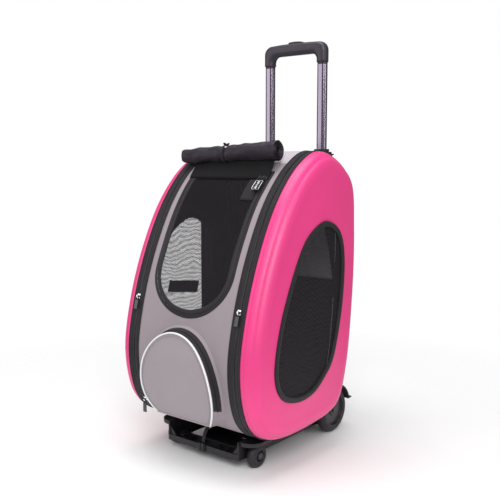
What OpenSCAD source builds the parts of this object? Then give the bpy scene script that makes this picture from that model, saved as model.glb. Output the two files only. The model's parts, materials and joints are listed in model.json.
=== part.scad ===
// Wheeled soft-sided pet carrier on a tray with a telescoping handle.
// Units are millimetres. The origin is on the ground, at the middle of the footprint.
// +Z is up, +Y points to the handle side, the mesh door faces -Y, and +X is the right-hand side.

/* [Bag] */
// Half of the distance between the two zip planes
bag_half_w = 146; // [138:1:152]
// Half of the width of the grey panels between the zip bands
panel_half_w = 118; // [112:1:124]
// Depth of each domed side shell, outward from its zip plane
shell_depth = 34; // [33:1:40]
// Radius of the rounded edge of a side shell
shell_round = 31; // [20:1:32]
// Thickness of the foamed side shells
shell_t = 3; // [2:0.5:4]
// Thickness of the padded fabric walls
wall_t = 3; // [2:0.5:4]

/* [Front door] */
// Half of the width of the door opening at its widest upright part
door_half_w = 102.5; // [98:0.5:106]
// Height of the top edge of the door opening
door_top_z = 575; // [560:1:577]
// Height of the lowest point of the door opening
door_low_z = 297.5; // [292:0.5:310]
// Width of the fixed webbing round the door opening
border_w = 6.5; // [5:0.5:12]
// Width of the binding on the door flap itself
binding_w = 9; // [7:0.5:13]

/* [Pocket] */
// Half of the width of the front pocket at its widest
pocket_half_w = 92; // [84:1:100]
// Height of the pocket from its base to the top of its arch
pocket_h = 172; // [150:1:176]
// Height of the base of the pocket above the ground
pocket_z = 100; // [98:1:104]
// How far the pocket stands out from the bag
pocket_depth = 20; // [16:1:24]

/* [Trolley] */
// Distance from the middle of the footprint back to the rear axle
axle_y = 159; // [154:1:164]
// Distance from the rear axle forward to the front axle
wheel_base = 260; // [250:1:266]
// Half of the outside width of the tray
tray_half_w = 94.5; // [90:0.5:96]
// Height of the underside of the tray
tray_z = 20; // [16:1:22]
// Height of the deck that the bag stands on
deck_z = 62.5; // [60:0.5:63]
// Thickness of the tray's moulded walls
tray_t = 3; // [2.5:0.5:4]

/* [Wheels] */
// Radius of the front wheels
front_r = 24.5; // [20:0.5:24.5]
// Width of the front tyres
front_w = 20; // [16:1:20]
// Radius of the rear wheels
rear_r = 50; // [44:1:50]
// Width of the rear tyres
rear_w = 24; // [20:1:24]
// Radius of the axles
axle_r = 4; // [3:0.5:5]

/* [Handle] */
// Distance of each telescoping tube from the middle plane
tube_x = 70; // [66:1:71]
// Height of the underside of the grip's legs with the handle as it stands
grip_z = 804; // [790:1:810]
// Height of the grip itself
grip_h = 46; // [44:1:50]
// Half of the width of the grip
grip_half_w = 82; // [82:1:88]
// Travel of the release button
button_travel = 3.5; // [2:0.5:4]

/* [Hidden] */

$fn = 64;

// Clearance between bodies that open away from each other.
gap = 0.4;
// Radial running clearance of a shaft in its bore.
run = 0.05;

// Side outline of the bag in [y, z], y measured from the rear axle.
// It starts at the crown and runs forward, down the front, back along the floor and up the back.
BAG_KNOTS = [
    [-105, 613], [-180, 589], [-250, 519], [-306, 417], [-344, 305], [-358, 205], [-335, 113],
    [-270, 69], [-150, 66], [-66, 86], [-28, 167], [-8, 310], [-4, 455], [-21, 561]
];
// Outline of a side window, with one knot facing each knot of the bag's outline.
WINDOW_KNOTS = [
    [-128, 472], [-168, 463], [-207, 433], [-247, 365], [-280, 284], [-294, 208], [-277, 163],
    [-232, 144], [-180, 147], [-138, 172], [-108, 207], [-82, 295], [-73, 390], [-87, 448]
];
// Points on each stretch between two knots, for walls and for the domed shells.
WALL_STEPS = 6;
SHELL_STEPS = 4;

// ---- Curves --------------------------------------------------------------

// Point at t from 0 to 1 on the smooth stretch between knots b and c.
function stretch_point(a, b, c, d, t) =
    0.5 * (2 * b + (c - a) * t + (2 * a - 5 * b + 4 * c - d) * t * t
        + (3 * b - a - 3 * c + d) * t * t * t);

// Closed smooth curve through the knots, moved so that y is measured from the origin.
function closed_curve(knots, steps) = [
    for (i = [0:len(knots) - 1], j = [0:steps - 1])
        let (n = len(knots))
            stretch_point(
                knots[(i + n - 1) % n], knots[i], knots[(i + 1) % n], knots[(i + 2) % n],
                j / steps
            ) + [axle_y, 0]
];

// Unit direction of travel along a closed curve at point i.
function heading(curve, i) =
    let (n = len(curve), d = curve[(i + 1) % n] - curve[(i + n - 1) % n])
        d / norm(d);

// The same curve moved inward by d.
function inset(curve, d) = [
    for (i = [0:len(curve) - 1])
        let (t = heading(curve, i))
            curve[i] + d * [-t.y, t.x]
];

// Wall between two depths of a curve, from point i to point j, as one closed outline.
function wall_strip(curve, i, j, d0, d1) =
    let (outer = inset(curve, d0), inner = inset(curve, d1), n = len(curve))
        concat(
            [for (k = [i:j]) outer[k % n]],
            [for (k = [j:-1:i]) inner[k % n]]
        );

bag_curve = closed_curve(BAG_KNOTS, WALL_STEPS);
window_curve = closed_curve(WINDOW_KNOTS, SHELL_STEPS);

// Places round the bag's outline, counted in wall points.
TOP_FRONT = 1 * WALL_STEPS;
FLOOR_FRONT = 7 * WALL_STEPS;
FLOOR_BACK = 9 * WALL_STEPS;
BACK_TOP = 13 * WALL_STEPS;
ROUND_TRIP = 14 * WALL_STEPS;

// ---- Placing -------------------------------------------------------------

// Extrudes a [y, z] outline along X from x0 to x1.
module along_x(x0, x1)
    translate([x0, 0, 0])
        rotate([90, 0, 90])
            linear_extrude(x1 - x0)
                children();

// Extrudes an [x, z] outline along Y from y0 to y1.
module along_y(y0, y1)
    translate([0, y1, 0])
        rotate([90, 0, 0])
            linear_extrude(y1 - y0)
                children();

// Cylinder with its axis along X from x0 to x1.
module rod_x(r, x0, x1)
    translate([x0, 0, 0])
        rotate([0, 90, 0])
            cylinder(h = x1 - x0, r = r);

// Box from its lowest to its highest corner.
module block(low, high)
    translate(low)
        cube(high - low);

// The part as it is, and its mirror image on the left-hand side.
module both_sides() {
    children();
    mirror([1, 0, 0])
        children();
}

// Stadium outline, w along X and d along Y.
module stadium(w, d)
    union() {
        square([w - d, d], center = true);
        translate([(w - d) / 2, 0])
            circle(d = d);
        translate([(d - w) / 2, 0])
            circle(d = d);
    }

// Straight stadium tube at the right-hand handle position; a wall of 0 makes it solid.
module tube_right(w, d, wall, z0, z1)
    translate([tube_x, tube_y, z0])
        linear_extrude(z1 - z0)
            difference() {
                stadium(w, d);
                if (wall > 0)
                    stadium(w - 2 * wall, d - 2 * wall);
            }

// Sets a piece on the bag's surface at wall point i: its +Z runs up the panel and its -Y points out.
module on_panel(i, x, lift)
    let (p = inset(bag_curve, -lift)[i], t = heading(bag_curve, i))
        translate([x, p.x, p.y])
            rotate([atan2(-t.y, -t.x) - 90, 0, 0])
                children();

// Sets a piece upright in front of the bag's surface at wall point i.
module hang_from_panel(i, x, lift)
    let (p = inset(bag_curve, -lift)[i])
        translate([x, p.x, p.y])
            children();

// ---- Sizes worked out from the driving dimensions --------------------------

rim_x = bag_half_w + gap;
face_x = rim_x + shell_depth;
rear_axle_z = rear_r;
front_axle_y = axle_y - wheel_base;
front_axle_z = front_r;
tray_front_y = axle_y - 300;
tray_top_z = 58;
fender_z = 50.2;
channel_w = 38;
channel_back_y = tray_front_y + channel_w;
rail_front_y = tray_front_y + 28;
rail_flange_w = 14;
rear_beam_front_y = axle_y - 24;
rear_beam_back_y = axle_y + 24;
rear_beam_top_z = 84;
tube_y = axle_y + 12;
front_wheel_x = 107;
rear_wheel_x = 109.5;
front_hub_r = 14;
rear_hub_r = 36;
collar_top_z = grip_z - 184;
door_mid_z = 385;
door_shoulder_z = 430;
door_flare = 3;

// Tube sections, outside width and depth, from the fixed tube to the innermost.
OUTER_TUBE = [27.4, 20.4];
MIDDLE_TUBE = [23, 16];
INNER_TUBE = [19, 12];
tube_wall = 1.3;

outer_tube_z = 56;
middle_tube_z = 262;
inner_tube_z = 350;
inner_tube_top = grip_z + 22;
lock_block_h = 24;

// The rolled cover: radius, half length, middle, and the angle by which its +X end is raised.
roll_r = 17;
roll_half_l = 130;
roll_x = -15;
roll_y = axle_y - 195;
roll_z = 610;
roll_tilt = 2.6;
// Distance along the roll from its middle to its tie.
tie_along = -9;

// ---- Tray ------------------------------------------------------------------

// Open-topped channel across the front of the tray, with end walls and stiffening webs.
module front_beam()
    color("#26262a")
        difference() {
            union() {
                translate([-tray_half_w, tray_front_y, tray_z]) {
                    cube([2 * tray_half_w, channel_w, tray_t]);
                    cube([2 * tray_half_w, tray_t, 12]);
                    translate([0, channel_w - tray_t, 0])
                        cube([2 * tray_half_w, tray_t, 10]);
                }
                both_sides() {
                    block(
                        [tray_half_w - tray_t, tray_front_y, tray_z],
                        [tray_half_w, rail_front_y, tray_top_z]
                    );
                    along_y(tray_front_y + tray_t, tray_front_y + tray_t + 2)
                        polygon([
                            [tray_half_w - tray_t, tray_z + tray_t],
                            [tray_half_w - tray_t, tray_z + 30],
                            [tray_half_w - 26, tray_z + tray_t]
                        ]);
                    for (x = [22, 48])
                        translate([x, tray_front_y + tray_t, tray_z + tray_t])
                            cube([2, channel_w - 2 * tray_t, 5]);
                }
            }
            both_sides() {
                translate([70, tray_front_y + 19, tray_z - 1])
                    cylinder(h = tray_t + 2, r = 4);
                block(
                    [tray_half_w - rail_flange_w, rail_front_y, tray_z - 1],
                    [tray_half_w + 1, channel_back_y + 1, tray_top_z + 1]
                );
            }
        }

// Upright side rail with a deck flange and a boss for the front axle.
module side_rail_right()
    color("#222226")
        difference() {
            union() {
                rail_strip(tray_t, rail_front_y, tray_z, tray_top_z);
                rail_strip(rail_flange_w, rail_front_y, tray_top_z - tray_t, tray_top_z);
                rail_strip(10, rail_front_y + 10, tray_z, tray_z + tray_t);
                block([tray_half_w - 12, axle_y - 250, tray_top_z], [tray_half_w - 2, axle_y - 96, deck_z]);
                translate([0, front_axle_y, front_axle_z])
                    rod_x(8, tray_half_w - 12, tray_half_w);
                for (y = [axle_y - 200, axle_y - 140, axle_y - 80])
                    block([tray_half_w - 10, y, tray_z], [tray_half_w - tray_t, y + 2, tray_top_z - tray_t]);
            }
            translate([0, front_axle_y, front_axle_z])
                rod_x(axle_r, tray_half_w - 13, tray_half_w + 1);
            block([0, front_axle_y - 20, tray_z - 9], [tray_half_w + 1, front_axle_y + 20, tray_z]);
        }

// Straight strip of the rail, w wide inward from its outer face, back to the rear beam.
module rail_strip(w, y0, z0, z1)
    block([tray_half_w - w, y0, z0], [tray_half_w, rear_beam_front_y, z1]);

module side_rail_left()
    mirror([1, 0, 0])
        side_rail_right();

// Flat web down the middle of the tray, swelling into a round pad under the bag.
module center_spine()
    color("#1f1f23")
        translate([0, 0, tray_z])
            linear_extrude(tray_t)
                union() {
                    translate([-30, channel_back_y])
                        square([60, rear_beam_front_y - channel_back_y]);
                    intersection() {
                        translate([0, axle_y - 196])
                            circle(r = 66);
                        translate([-80, channel_back_y])
                            square([160, 200]);
                    }
                }

// Cross beam that carries the rear axle and the feet of the fixed tubes.
module rear_beam()
    color("#232327")
        difference() {
            union() {
                block(
                    [-tray_half_w, rear_beam_front_y, tray_z],
                    [tray_half_w, rear_beam_back_y, rear_beam_top_z - 14]
                );
                both_sides()
                    translate([tube_x, tube_y, rear_beam_top_z - 14])
                        linear_extrude(14)
                            stadium(40, 26);
            }
            translate([0, axle_y, rear_axle_z])
                rod_x(axle_r, -tray_half_w - 1, tray_half_w + 1);
            both_sides()
                tube_right(OUTER_TUBE[0], OUTER_TUBE[1], 0, outer_tube_z, rear_beam_top_z + 1);
            block([-40, rear_beam_front_y - 1, tray_z + 10], [40, axle_y - 8, rear_beam_top_z - 20]);
            block([-40, axle_y + 8, tray_z + 10], [40, rear_beam_back_y + 1, rear_beam_top_z - 20]);
        }

// Shelf with a turned-down rim over each front wheel.
module front_fenders()
    color("#29292d")
        both_sides()
            difference() {
                translate([0, 0, fender_z])
                    linear_extrude(tray_top_z - fender_z)
                        fender_outline(0);
                translate([0, 0, fender_z - 1])
                    linear_extrude(tray_top_z - fender_z - 2)
                        fender_outline(2.5);
            }

// Plan of a front fender, shrunk by d on its free edges and cut off flat along the rail.
module fender_outline(d) {
    corner = 28;
    front = axle_y - 296;
    back = axle_y - 222;
    outer = 129;
    intersection() {
        translate([tray_half_w, front])
            square([outer - tray_half_w, back - front]);
        union() {
            translate([tray_half_w - 1, front + d])
                square([outer - corner - tray_half_w + 1, back - front - 2 * d]);
            translate([outer - corner, front + corner])
                square([corner - d, back - front - 2 * corner]);
            for (y = [front + corner, back - corner])
                translate([outer - corner, y])
                    circle(r = corner - d);
        }
    }
}

// Curved guard over each rear wheel with a flicked tail and a side plate.
module rear_mudguards()
    color("#26262a")
        both_sides()
            difference() {
                union() {
                    along_x(tray_half_w, 124)
                        guard_sector(54, 57, 14, 128);
                    along_x(tray_half_w, tray_half_w + 2)
                        guard_sector(24, 57, 14, 128);
                    along_x(tray_half_w, 124)
                        translate([axle_y, rear_axle_z])
                            rotate(14)
                                polygon([[54, 0], [57, 6], [65, 1.5], [66, -1.5]]);
                }
                translate([0, axle_y, rear_axle_z])
                    rod_x(12, tray_half_w - 1, tray_half_w + 3);
            }

// Part of a ring in [y, z] round the rear axle, from angle a0 to a1 above +Y.
module guard_sector(r0, r1, a0, a1)
    translate([axle_y, rear_axle_z])
        polygon(concat(
            [for (k = [0:20]) r1 * [cos(a0 + (a1 - a0) * k / 20), sin(a0 + (a1 - a0) * k / 20)]],
            [for (k = [20:-1:0]) r0 * [cos(a0 + (a1 - a0) * k / 20), sin(a0 + (a1 - a0) * k / 20)]]
        ));

// Steel stub axles for the front wheels.
module front_axles()
    color("#b9bcc2")
        both_sides()
            translate([0, front_axle_y, front_axle_z])
                rod_x(axle_r, tray_half_w - 12, front_wheel_x + 9);

// Steel rod through the rear beam.
module rear_axle()
    color("#b9bcc2")
        translate([0, axle_y, rear_axle_z])
            rod_x(axle_r, -rear_wheel_x - 9, rear_wheel_x + 9);

// Push-on caps that keep the wheels on their axles.
module axle_caps()
    color("#35353a")
        both_sides() {
            translate([0, front_axle_y, front_axle_z])
                axle_cap(front_wheel_x + 9);
            translate([0, axle_y, rear_axle_z])
                axle_cap(rear_wheel_x + 9);
        }

module axle_cap(x)
    translate([x, 0, 0])
        rotate([0, 90, 0])
            rotate_extrude()
                polygon([[0, 0], [7, 0], [7, 1.2], [5.5, 2.4], [0, 2.8]]);

// Screws that hold the tray together, with domed heads under its floor.
module frame_screws()
    color("#8d9096")
        both_sides() {
            for (y = [axle_y - 14, axle_y + 14])
                translate([80, y, tray_z - 2.4])
                    screw_head();
            translate([tray_half_w - 6, axle_y - 236, tray_z - 2.4])
                screw_head();
        }

module screw_head()
    rotate_extrude()
        polygon([[0, 0], [2.6, 0], [4, 1.4], [4, 2.4], [0, 2.4]]);

// Clip on the middle of the front lip that holds the bag's strap.
module front_latch()
    color("#1b1b1e")
        union() {
            block([-9, tray_front_y - 2.5, tray_z - 1], [9, tray_front_y, tray_z + 13]);
            for (x = [-6, 3])
                block([x, tray_front_y - 4, tray_z - 1], [x + 3, tray_front_y - 2.5, tray_z + 16]);
            block([-9, tray_front_y - 2.5, tray_z + 12], [9, tray_front_y + 6, tray_z + 14.5]);
        }

// Webbing loop that runs from the clip up to the underside of the bag.
module front_strap()
    color("#202024")
        difference() {
            along_x(-4, 4)
                polygon(concat(
                    [for (k = [0:10]) strap_point(k / 10, 0.8)],
                    [for (k = [10:-1:0]) strap_point(k / 10, -0.8)]
                ));
            along_x(-5, 5)
                polygon(bag_curve);
        }

// Point along the strap's arc in [y, z], offset across its thickness.
function strap_point(t, off) =
    let (a = 180 - 74 * t, r = 40 + off)
        [tray_front_y + 43.5, tray_z + 14.5] + r * [cos(a), 0.92 * sin(a)];

// ---- Wheels ----------------------------------------------------------------

// Tyre about the Z axis with rounded shoulders, from its bore to radius r.
module tyre_round(r, bore, w)
    rotate_extrude()
        intersection() {
            translate([bore, -w / 2])
                square([r - bore, w]);
            union() {
                translate([0, -w / 2])
                    square([r - w * 0.36, w]);
                translate([r - w * 0.5, 0])
                    circle(d = w);
            }
        }

// Hub about the Z axis with a dished outer face, a boss and a plain bore.
module hub_round(r, w, boss_r)
    rotate_extrude()
        polygon([
            [axle_r + run, -w / 2 + 1], [boss_r, -w / 2 + 1], [r - 4, -w / 2 + 3],
            [r - 2.5, -w / 2 + 0.6], [r, -w / 2 + 0.6], [r, w / 2 - 0.6], [r - 2.5, w / 2 - 0.6],
            [r - 4, w / 2 - 6], [boss_r + 1, w / 2 - 6], [boss_r, w / 2 - 3.5], [axle_r + run, w / 2 - 3.5]
        ]);

module front_wheel_place()
    translate([front_wheel_x, front_axle_y, front_axle_z])
        rotate([0, 90, 0])
            children();

module rear_wheel_place()
    translate([rear_wheel_x, axle_y, rear_axle_z])
        rotate([0, 90, 0])
            children();

module front_tyre_right()
    color("#2c2b30")
        front_wheel_place()
            tyre_round(front_r, front_hub_r, front_w);

module front_hub_right()
    color("#3a393f")
        front_wheel_place()
            hub_round(front_hub_r, front_w, 8);

module rear_tyre_right()
    color("#2c2b30")
        rear_wheel_place()
            tyre_round(rear_r, rear_hub_r, rear_w);

module rear_hub_right()
    color("#3a393f")
        rear_wheel_place()
            hub_round(rear_hub_r, rear_w, 13);

module front_tyre_left()
    mirror([1, 0, 0])
        front_tyre_right();

module front_hub_left()
    mirror([1, 0, 0])
        front_hub_right();

module rear_tyre_left()
    mirror([1, 0, 0])
        rear_tyre_right();

module rear_hub_left()
    mirror([1, 0, 0])
        rear_hub_right();

// ---- Telescoping handle ----------------------------------------------------

// Fixed outer tubes, seated in the rear beam.
module outer_tubes()
    color("#3b3b40")
        both_sides()
            tube_right(OUTER_TUBE[0], OUTER_TUBE[1], tube_wall, outer_tube_z, collar_top_z - 17);

// Moulded bar that joins the tops of the fixed tubes, with a flared collar round each.
module top_bracket()
    color("#1d1d20")
        difference() {
            union() {
                along_y(tube_y - 9, tube_y + 12)
                    polygon([
                        [-tube_x - 16, collar_top_z - 44], [tube_x + 16, collar_top_z - 44],
                        [tube_x + 16, collar_top_z - 17], [-tube_x - 16, collar_top_z - 17]
                    ]);
                both_sides()
                    translate([tube_x, tube_y, 0]) {
                        translate([0, 0, collar_top_z - 17])
                            linear_extrude(4)
                                stadium(50, 32);
                        translate([0, 0, collar_top_z - 13])
                            linear_extrude(3)
                                stadium(56, 38);
                        translate([0, 0, collar_top_z - 10])
                            linear_extrude(4)
                                stadium(46, 32);
                        translate([0, 0, collar_top_z - 6])
                            linear_extrude(6)
                                stadium(34, 25);
                    }
            }
            both_sides() {
                tube_right(OUTER_TUBE[0], OUTER_TUBE[1], 0, collar_top_z - 45, collar_top_z - 17);
                tube_right(
                    MIDDLE_TUBE[0] + 2 * run, MIDDLE_TUBE[1] + 2 * run, 0,
                    collar_top_z - 18, collar_top_z + 1
                );
            }
        }

// First sliding stage: a pair of tubes that run in the fixed tubes.
module middle_tubes()
    color("#4a4a50")
        both_sides()
            tube_right(MIDDLE_TUBE[0], MIDDLE_TUBE[1], tube_wall, middle_tube_z, grip_z - 4);

// Slide bushes of the first stage: a cap at each top and a guide round each foot.
module middle_bushes()
    color("#17171a")
        both_sides() {
            difference() {
                tube_right(MIDDLE_TUBE[0], MIDDLE_TUBE[1], 0, grip_z - 4, grip_z - 0.8);
                tube_right(INNER_TUBE[0] + 2 * run, INNER_TUBE[1] + 2 * run, 0, grip_z - 5, grip_z);
            }
            difference() {
                tube_right(
                    OUTER_TUBE[0] - 2 * (tube_wall + run), OUTER_TUBE[1] - 2 * (tube_wall + run), 0,
                    middle_tube_z - 4, middle_tube_z + 20
                );
                tube_right(MIDDLE_TUBE[0], MIDDLE_TUBE[1], 0, middle_tube_z, middle_tube_z + 21);
                tube_right(
                    MIDDLE_TUBE[0] - 2 * tube_wall, MIDDLE_TUBE[1] - 2 * tube_wall, 0,
                    middle_tube_z - 5, middle_tube_z + 1
                );
            }
        }

// Second sliding stage, fixed in the legs of the grip.
module inner_tubes()
    color("#5a5a60")
        both_sides()
            tube_right(INNER_TUBE[0], INNER_TUBE[1], tube_wall, inner_tube_z, inner_tube_top);

// Lock blocks at the feet of the second stage, which the push rods act on.
module inner_guides()
    color("#17171a")
        both_sides()
            difference() {
                union() {
                    tube_right(
                        MIDDLE_TUBE[0] - 2 * (tube_wall + run), MIDDLE_TUBE[1] - 2 * (tube_wall + run), 0,
                        inner_tube_z - 16, inner_tube_z
                    );
                    tube_right(
                        INNER_TUBE[0] - 2 * tube_wall, INNER_TUBE[1] - 2 * tube_wall, 0,
                        inner_tube_z, inner_tube_z + lock_block_h - 16
                    );
                }
                translate([tube_x, tube_y, inner_tube_z - 17])
                    cylinder(h = lock_block_h + 2, r = 2.5 + run);
            }

// Arched grip with a leg over each tube, hollow along its bar for the release linkage.
module grip()
    color("#3a3640")
        difference() {
            intersection() {
                along_y(tube_y - 12, tube_y + 12)
                    grip_arch();
                translate([0, tube_y, grip_z])
                    linear_extrude(grip_h + 2)
                        stadium(2 * grip_half_w, 22);
            }
            both_sides()
                tube_right(INNER_TUBE[0], INNER_TUBE[1], 0, grip_z - 1, inner_tube_top);
            both_sides()
                translate([tube_x, tube_y, grip_z])
                    cylinder(h = 30, r = 4);
            block(
                [-tube_x - 5.5, tube_y - 5, grip_z + 24],
                [tube_x + 5.5, tube_y + 5, grip_z + 38]
            );
            block(
                [-19.3, tube_y - 6.3, grip_z + 38.2 - button_travel - 0.6],
                [19.3, tube_y + 6.3, grip_z + grip_h + 3]
            );
        }

// Front view of the grip: rounded shoulders, a shallow crown and an open middle.
module grip_arch() {
    shoulder_r = 20;
    inner_r = 14;
    under_z = grip_z + 20;
    crown_r = 500;
    inner_half_w = tube_x - 12;
    difference() {
        intersection() {
            union() {
                translate([-grip_half_w, grip_z])
                    square([2 * grip_half_w, grip_h - shoulder_r]);
                translate([shoulder_r - grip_half_w, grip_z])
                    square([2 * (grip_half_w - shoulder_r), grip_h]);
                for (x = [shoulder_r - grip_half_w, grip_half_w - shoulder_r])
                    translate([x, grip_z + grip_h - shoulder_r])
                        circle(r = shoulder_r);
            }
            translate([0, grip_z + grip_h - crown_r])
                circle(r = crown_r, $fn = 360);
        }
        union() {
            translate([-inner_half_w, grip_z - 1])
                square([2 * inner_half_w, under_z - grip_z - inner_r + 1]);
            translate([inner_r - inner_half_w, grip_z - 1])
                square([2 * (inner_half_w - inner_r), under_z - grip_z + 1]);
            for (x = [inner_r - inner_half_w, inner_half_w - inner_r])
                translate([x, under_z - inner_r])
                    circle(r = inner_r);
        }
    }
}

// Push button in the middle of the grip.
module release_button()
    color("#141416")
        translate([0, tube_y, grip_z + 38.2])
            intersection() {
                linear_extrude(grip_h - 38.2 + 3)
                    stadium(38, 12);
                along_y(-7, 7)
                    translate([0, grip_h - 38.2 + 3 - 120])
                        circle(r = 120, $fn = 180);
            }

// Return spring under the linkage.
module button_spring()
    color("#b0b3b8")
        translate([0, tube_y, grip_z + 24])
            difference() {
                cylinder(h = 8, r = 4);
                translate([0, 0, -1])
                    cylinder(h = 10, r = 3);
            }

// Cross link and the two rods that reach down the tubes to the lock blocks.
module push_rods()
    color("#9a9da3")
        union() {
            block([-tube_x - 4, tube_y - 3, grip_z + 32], [tube_x + 4, tube_y + 3, grip_z + 37.7]);
            block([-6, tube_y - 3, grip_z + 37.7], [6, tube_y + 3, grip_z + 38.2]);
            both_sides()
                translate([tube_x, tube_y, inner_tube_z + 2])
                    cylinder(h = grip_z + 33 - inner_tube_z - 2, r = 2.5);
        }

// ---- Bag -------------------------------------------------------------------

// Grey or black panel between the zip bands, over the outline from point i to point j.
module panel(i, j, d0, d1)
    along_x(-panel_half_w, panel_half_w)
        polygon(wall_strip(bag_curve, i, j, d0, d1));

// Door opening in [x, z], shrunk by d: straight sides that flare upward and an elliptical foot.
module door_outline(d) {
    a = door_half_w - d;
    b = door_mid_z - door_low_z - d;
    polygon(concat(
        [for (k = [0:24]) [-a * cos(180 * k / 24), door_mid_z - b * sin(180 * k / 24)]],
        [
            [a, door_shoulder_z], [a + door_flare, door_top_z - d],
            [-a - door_flare, door_top_z - d], [-a, door_shoulder_z]
        ]
    ));
}

// Ring or plate shaped like the door opening, between insets d0 and d1 and two wall depths.
module door_piece(d0, d1, depth0, depth1)
    intersection() {
        along_y(axle_y - 400, axle_y - 120)
            difference() {
                door_outline(d0);
                if (d1 > d0)
                    door_outline(d1);
            }
        panel(TOP_FRONT, 6 * WALL_STEPS, depth0, depth1);
    }

module front_panel()
    color("#a89ea8")
        difference() {
            panel(TOP_FRONT, FLOOR_FRONT, 0, wall_t);
            along_y(axle_y - 400, axle_y - 120)
                door_outline(0);
        }

module top_panel()
    color("#b7afb7")
        panel(BACK_TOP, ROUND_TRIP + TOP_FRONT, 0, wall_t);

module back_panel()
    color("#222225")
        panel(FLOOR_BACK, BACK_TOP, 0, wall_t);

// Floor with a stiff board that stands on the deck of the tray.
module bottom_panel()
    color("#1c1c1f")
        union() {
            panel(FLOOR_FRONT, FLOOR_BACK, 0, wall_t);
            block([-96, axle_y - 250, deck_z], [96, axle_y - 96, 66.5]);
        }

// Zip tape ring that runs right round the bag beside a shell.
module zip_band_right()
    color("#19191b")
        along_x(panel_half_w, bag_half_w)
            difference() {
                polygon(bag_curve);
                polygon(inset(bag_curve, wall_t));
            }

module zip_band_left()
    mirror([1, 0, 0])
        zip_band_right();

module window_border()
    color("#1d1c21")
        door_piece(0, border_w, -1.5, wall_t);

module door_binding()
    color("#242328")
        door_piece(border_w + gap, border_w + gap + binding_w, -1.5, wall_t);

module door_mesh()
    color("#101012")
        door_piece(border_w + gap + binding_w, 0, 0.2, 1.4);

module floor_cushion()
    color("#2b2b2f")
        intersection() {
            block([-panel_half_w + 6, axle_y - 290, 60], [panel_half_w - 6, axle_y - 76, 84]);
            along_x(-panel_half_w, panel_half_w)
                polygon(inset(bag_curve, wall_t + 0.3));
        }

// Sets a piece whose axis runs along X on the roll's own axis.
module on_roll()
    translate([roll_x, roll_y, roll_z])
        rotate([0, -roll_tilt, 0])
            children();

// Rolled-up rain cover lying across the top of the door, held by a short flap.
module rolled_cover()
    color("#26242b")
        difference() {
            union() {
                on_roll()
                    rod_x(roll_r, -roll_half_l, roll_half_l);
                block([-door_half_w, roll_y + 6, roll_z - 46], [door_half_w - 5, roll_y + 10, roll_z - 8]);
            }
            along_x(roll_x - roll_half_l - 1, roll_x + roll_half_l + 1)
                polygon(bag_curve);
            on_roll()
                difference() {
                    rod_x(roll_r + 8, tie_along - 5, tie_along + 5);
                    rod_x(roll_r - 4, tie_along - 6, tie_along + 6);
                }
        }

// Elastic tie round the waist of the roll, with a small bead on top.
module roll_tie()
    color("#121214")
        on_roll()
            union() {
                difference() {
                    rod_x(roll_r - 1, tie_along - 4, tie_along + 4);
                    rod_x(roll_r - 3.9, tie_along - 5, tie_along + 5);
                }
                translate([tie_along, 0, roll_r + 1])
                    sphere(r = 4);
            }

// Outline of the pocket in [x, z], shrunk by d: an oval with its foot cut off level.
module pocket_outline(d) {
    waist_up = 60;
    foot_drop = 92;
    upper = pocket_h - waist_up - d;
    lower = foot_drop - d;
    intersection() {
        translate([0, pocket_z + waist_up])
            polygon([
                for (k = [0:47])
                    let (a = 360 * k / 48)
                        [(pocket_half_w - d) * cos(a), (a < 180 ? upper : lower) * sin(a)]
            ]);
        translate([-200, pocket_z + d])
            square([400, 400]);
    }
}

// Pocket piece between two insets of its outline and two distances out from the bag.
module pocket_piece(d0, d1, out0, out1)
    intersection() {
        along_y(axle_y - 420, axle_y - 250)
            difference() {
                pocket_outline(d0);
                if (d1 > d0)
                    pocket_outline(d1);
            }
        panel(4 * WALL_STEPS, 7 * WALL_STEPS, -out1, -out0);
    }

module pocket_wall()
    color("#8f868f")
        pocket_piece(0, 4, 0, pocket_depth);

module pocket_face()
    color("#958b95")
        pocket_piece(2, 0, pocket_depth + gap, pocket_depth + gap + 2.6);

module pocket_piping()
    color("#e8e8ea")
        pocket_piece(-2, 2, pocket_depth + gap, pocket_depth + gap + 4);

// Fabric sleeve on the back of the bag that holds it against the fixed tubes.
module back_sleeve()
    color("#1b1b1e")
        difference() {
            block([-104, axle_y - 5, 300], [104, tube_y + 13, 480]);
            block([-101, axle_y - 6, 299], [101, tube_y + 11, 481]);
            along_x(-105, 105)
                polygon(bag_curve);
        }

// ---- Zip sliders and pulls ---------------------------------------------------

// Wall points where the sliders stand.
DOOR_SLIDER = 9;
SIDE_SLIDER = 23;
LOW_SLIDER = 36;
door_slider_x = [94, 84.5];
side_slider_x = 132;
low_slider_x = -122;
door_lift = 1.5;
// Height of a slider's pin above the panel it stands on.
pin_lift = 5.8;
pin_r = 1;

// One slider, flat on the panel, with a bored lug that carries the pull.
module slider()
    difference() {
        union() {
            block([-4, -3, -5], [4, 0, 5]);
            block([-1.6, -8.2, -2.4], [1.6, -3, 2.4]);
        }
        translate([0, -pin_lift, 0])
            rod_x(pin_r + run, -2, 2);
    }

// Pull that hangs from a slider, with its pin at the origin.
module pull(length)
    union() {
        rod_x(pin_r, -3.2, 3.2);
        both_sides()
            block([2, -1.2, -9], [3.2, 1.2, 1.2]);
        block([-4.2, -1, -length], [4.2, 1, -8]);
    }

module band_sliders()
    color("#9fa2a8") {
        for (x = [-side_slider_x, side_slider_x])
            on_panel(SIDE_SLIDER, x, 0)
                slider();
        on_panel(LOW_SLIDER, low_slider_x, 0)
            slider();
    }

module door_sliders()
    color("#2f2f33")
        for (x = door_slider_x)
            on_panel(DOOR_SLIDER, x, door_lift)
                slider();

module door_pull_upper()
    color("#2a2a2d")
        on_panel(DOOR_SLIDER, door_slider_x[0], door_lift + pin_lift)
            pull(34);

module door_pull_lower()
    color("#2a2a2d")
        on_panel(DOOR_SLIDER, door_slider_x[1], door_lift + pin_lift)
            pull(34);

module side_pull_right()
    color("#c9cbd0")
        on_panel(SIDE_SLIDER, side_slider_x, pin_lift)
            pull(26);

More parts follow.
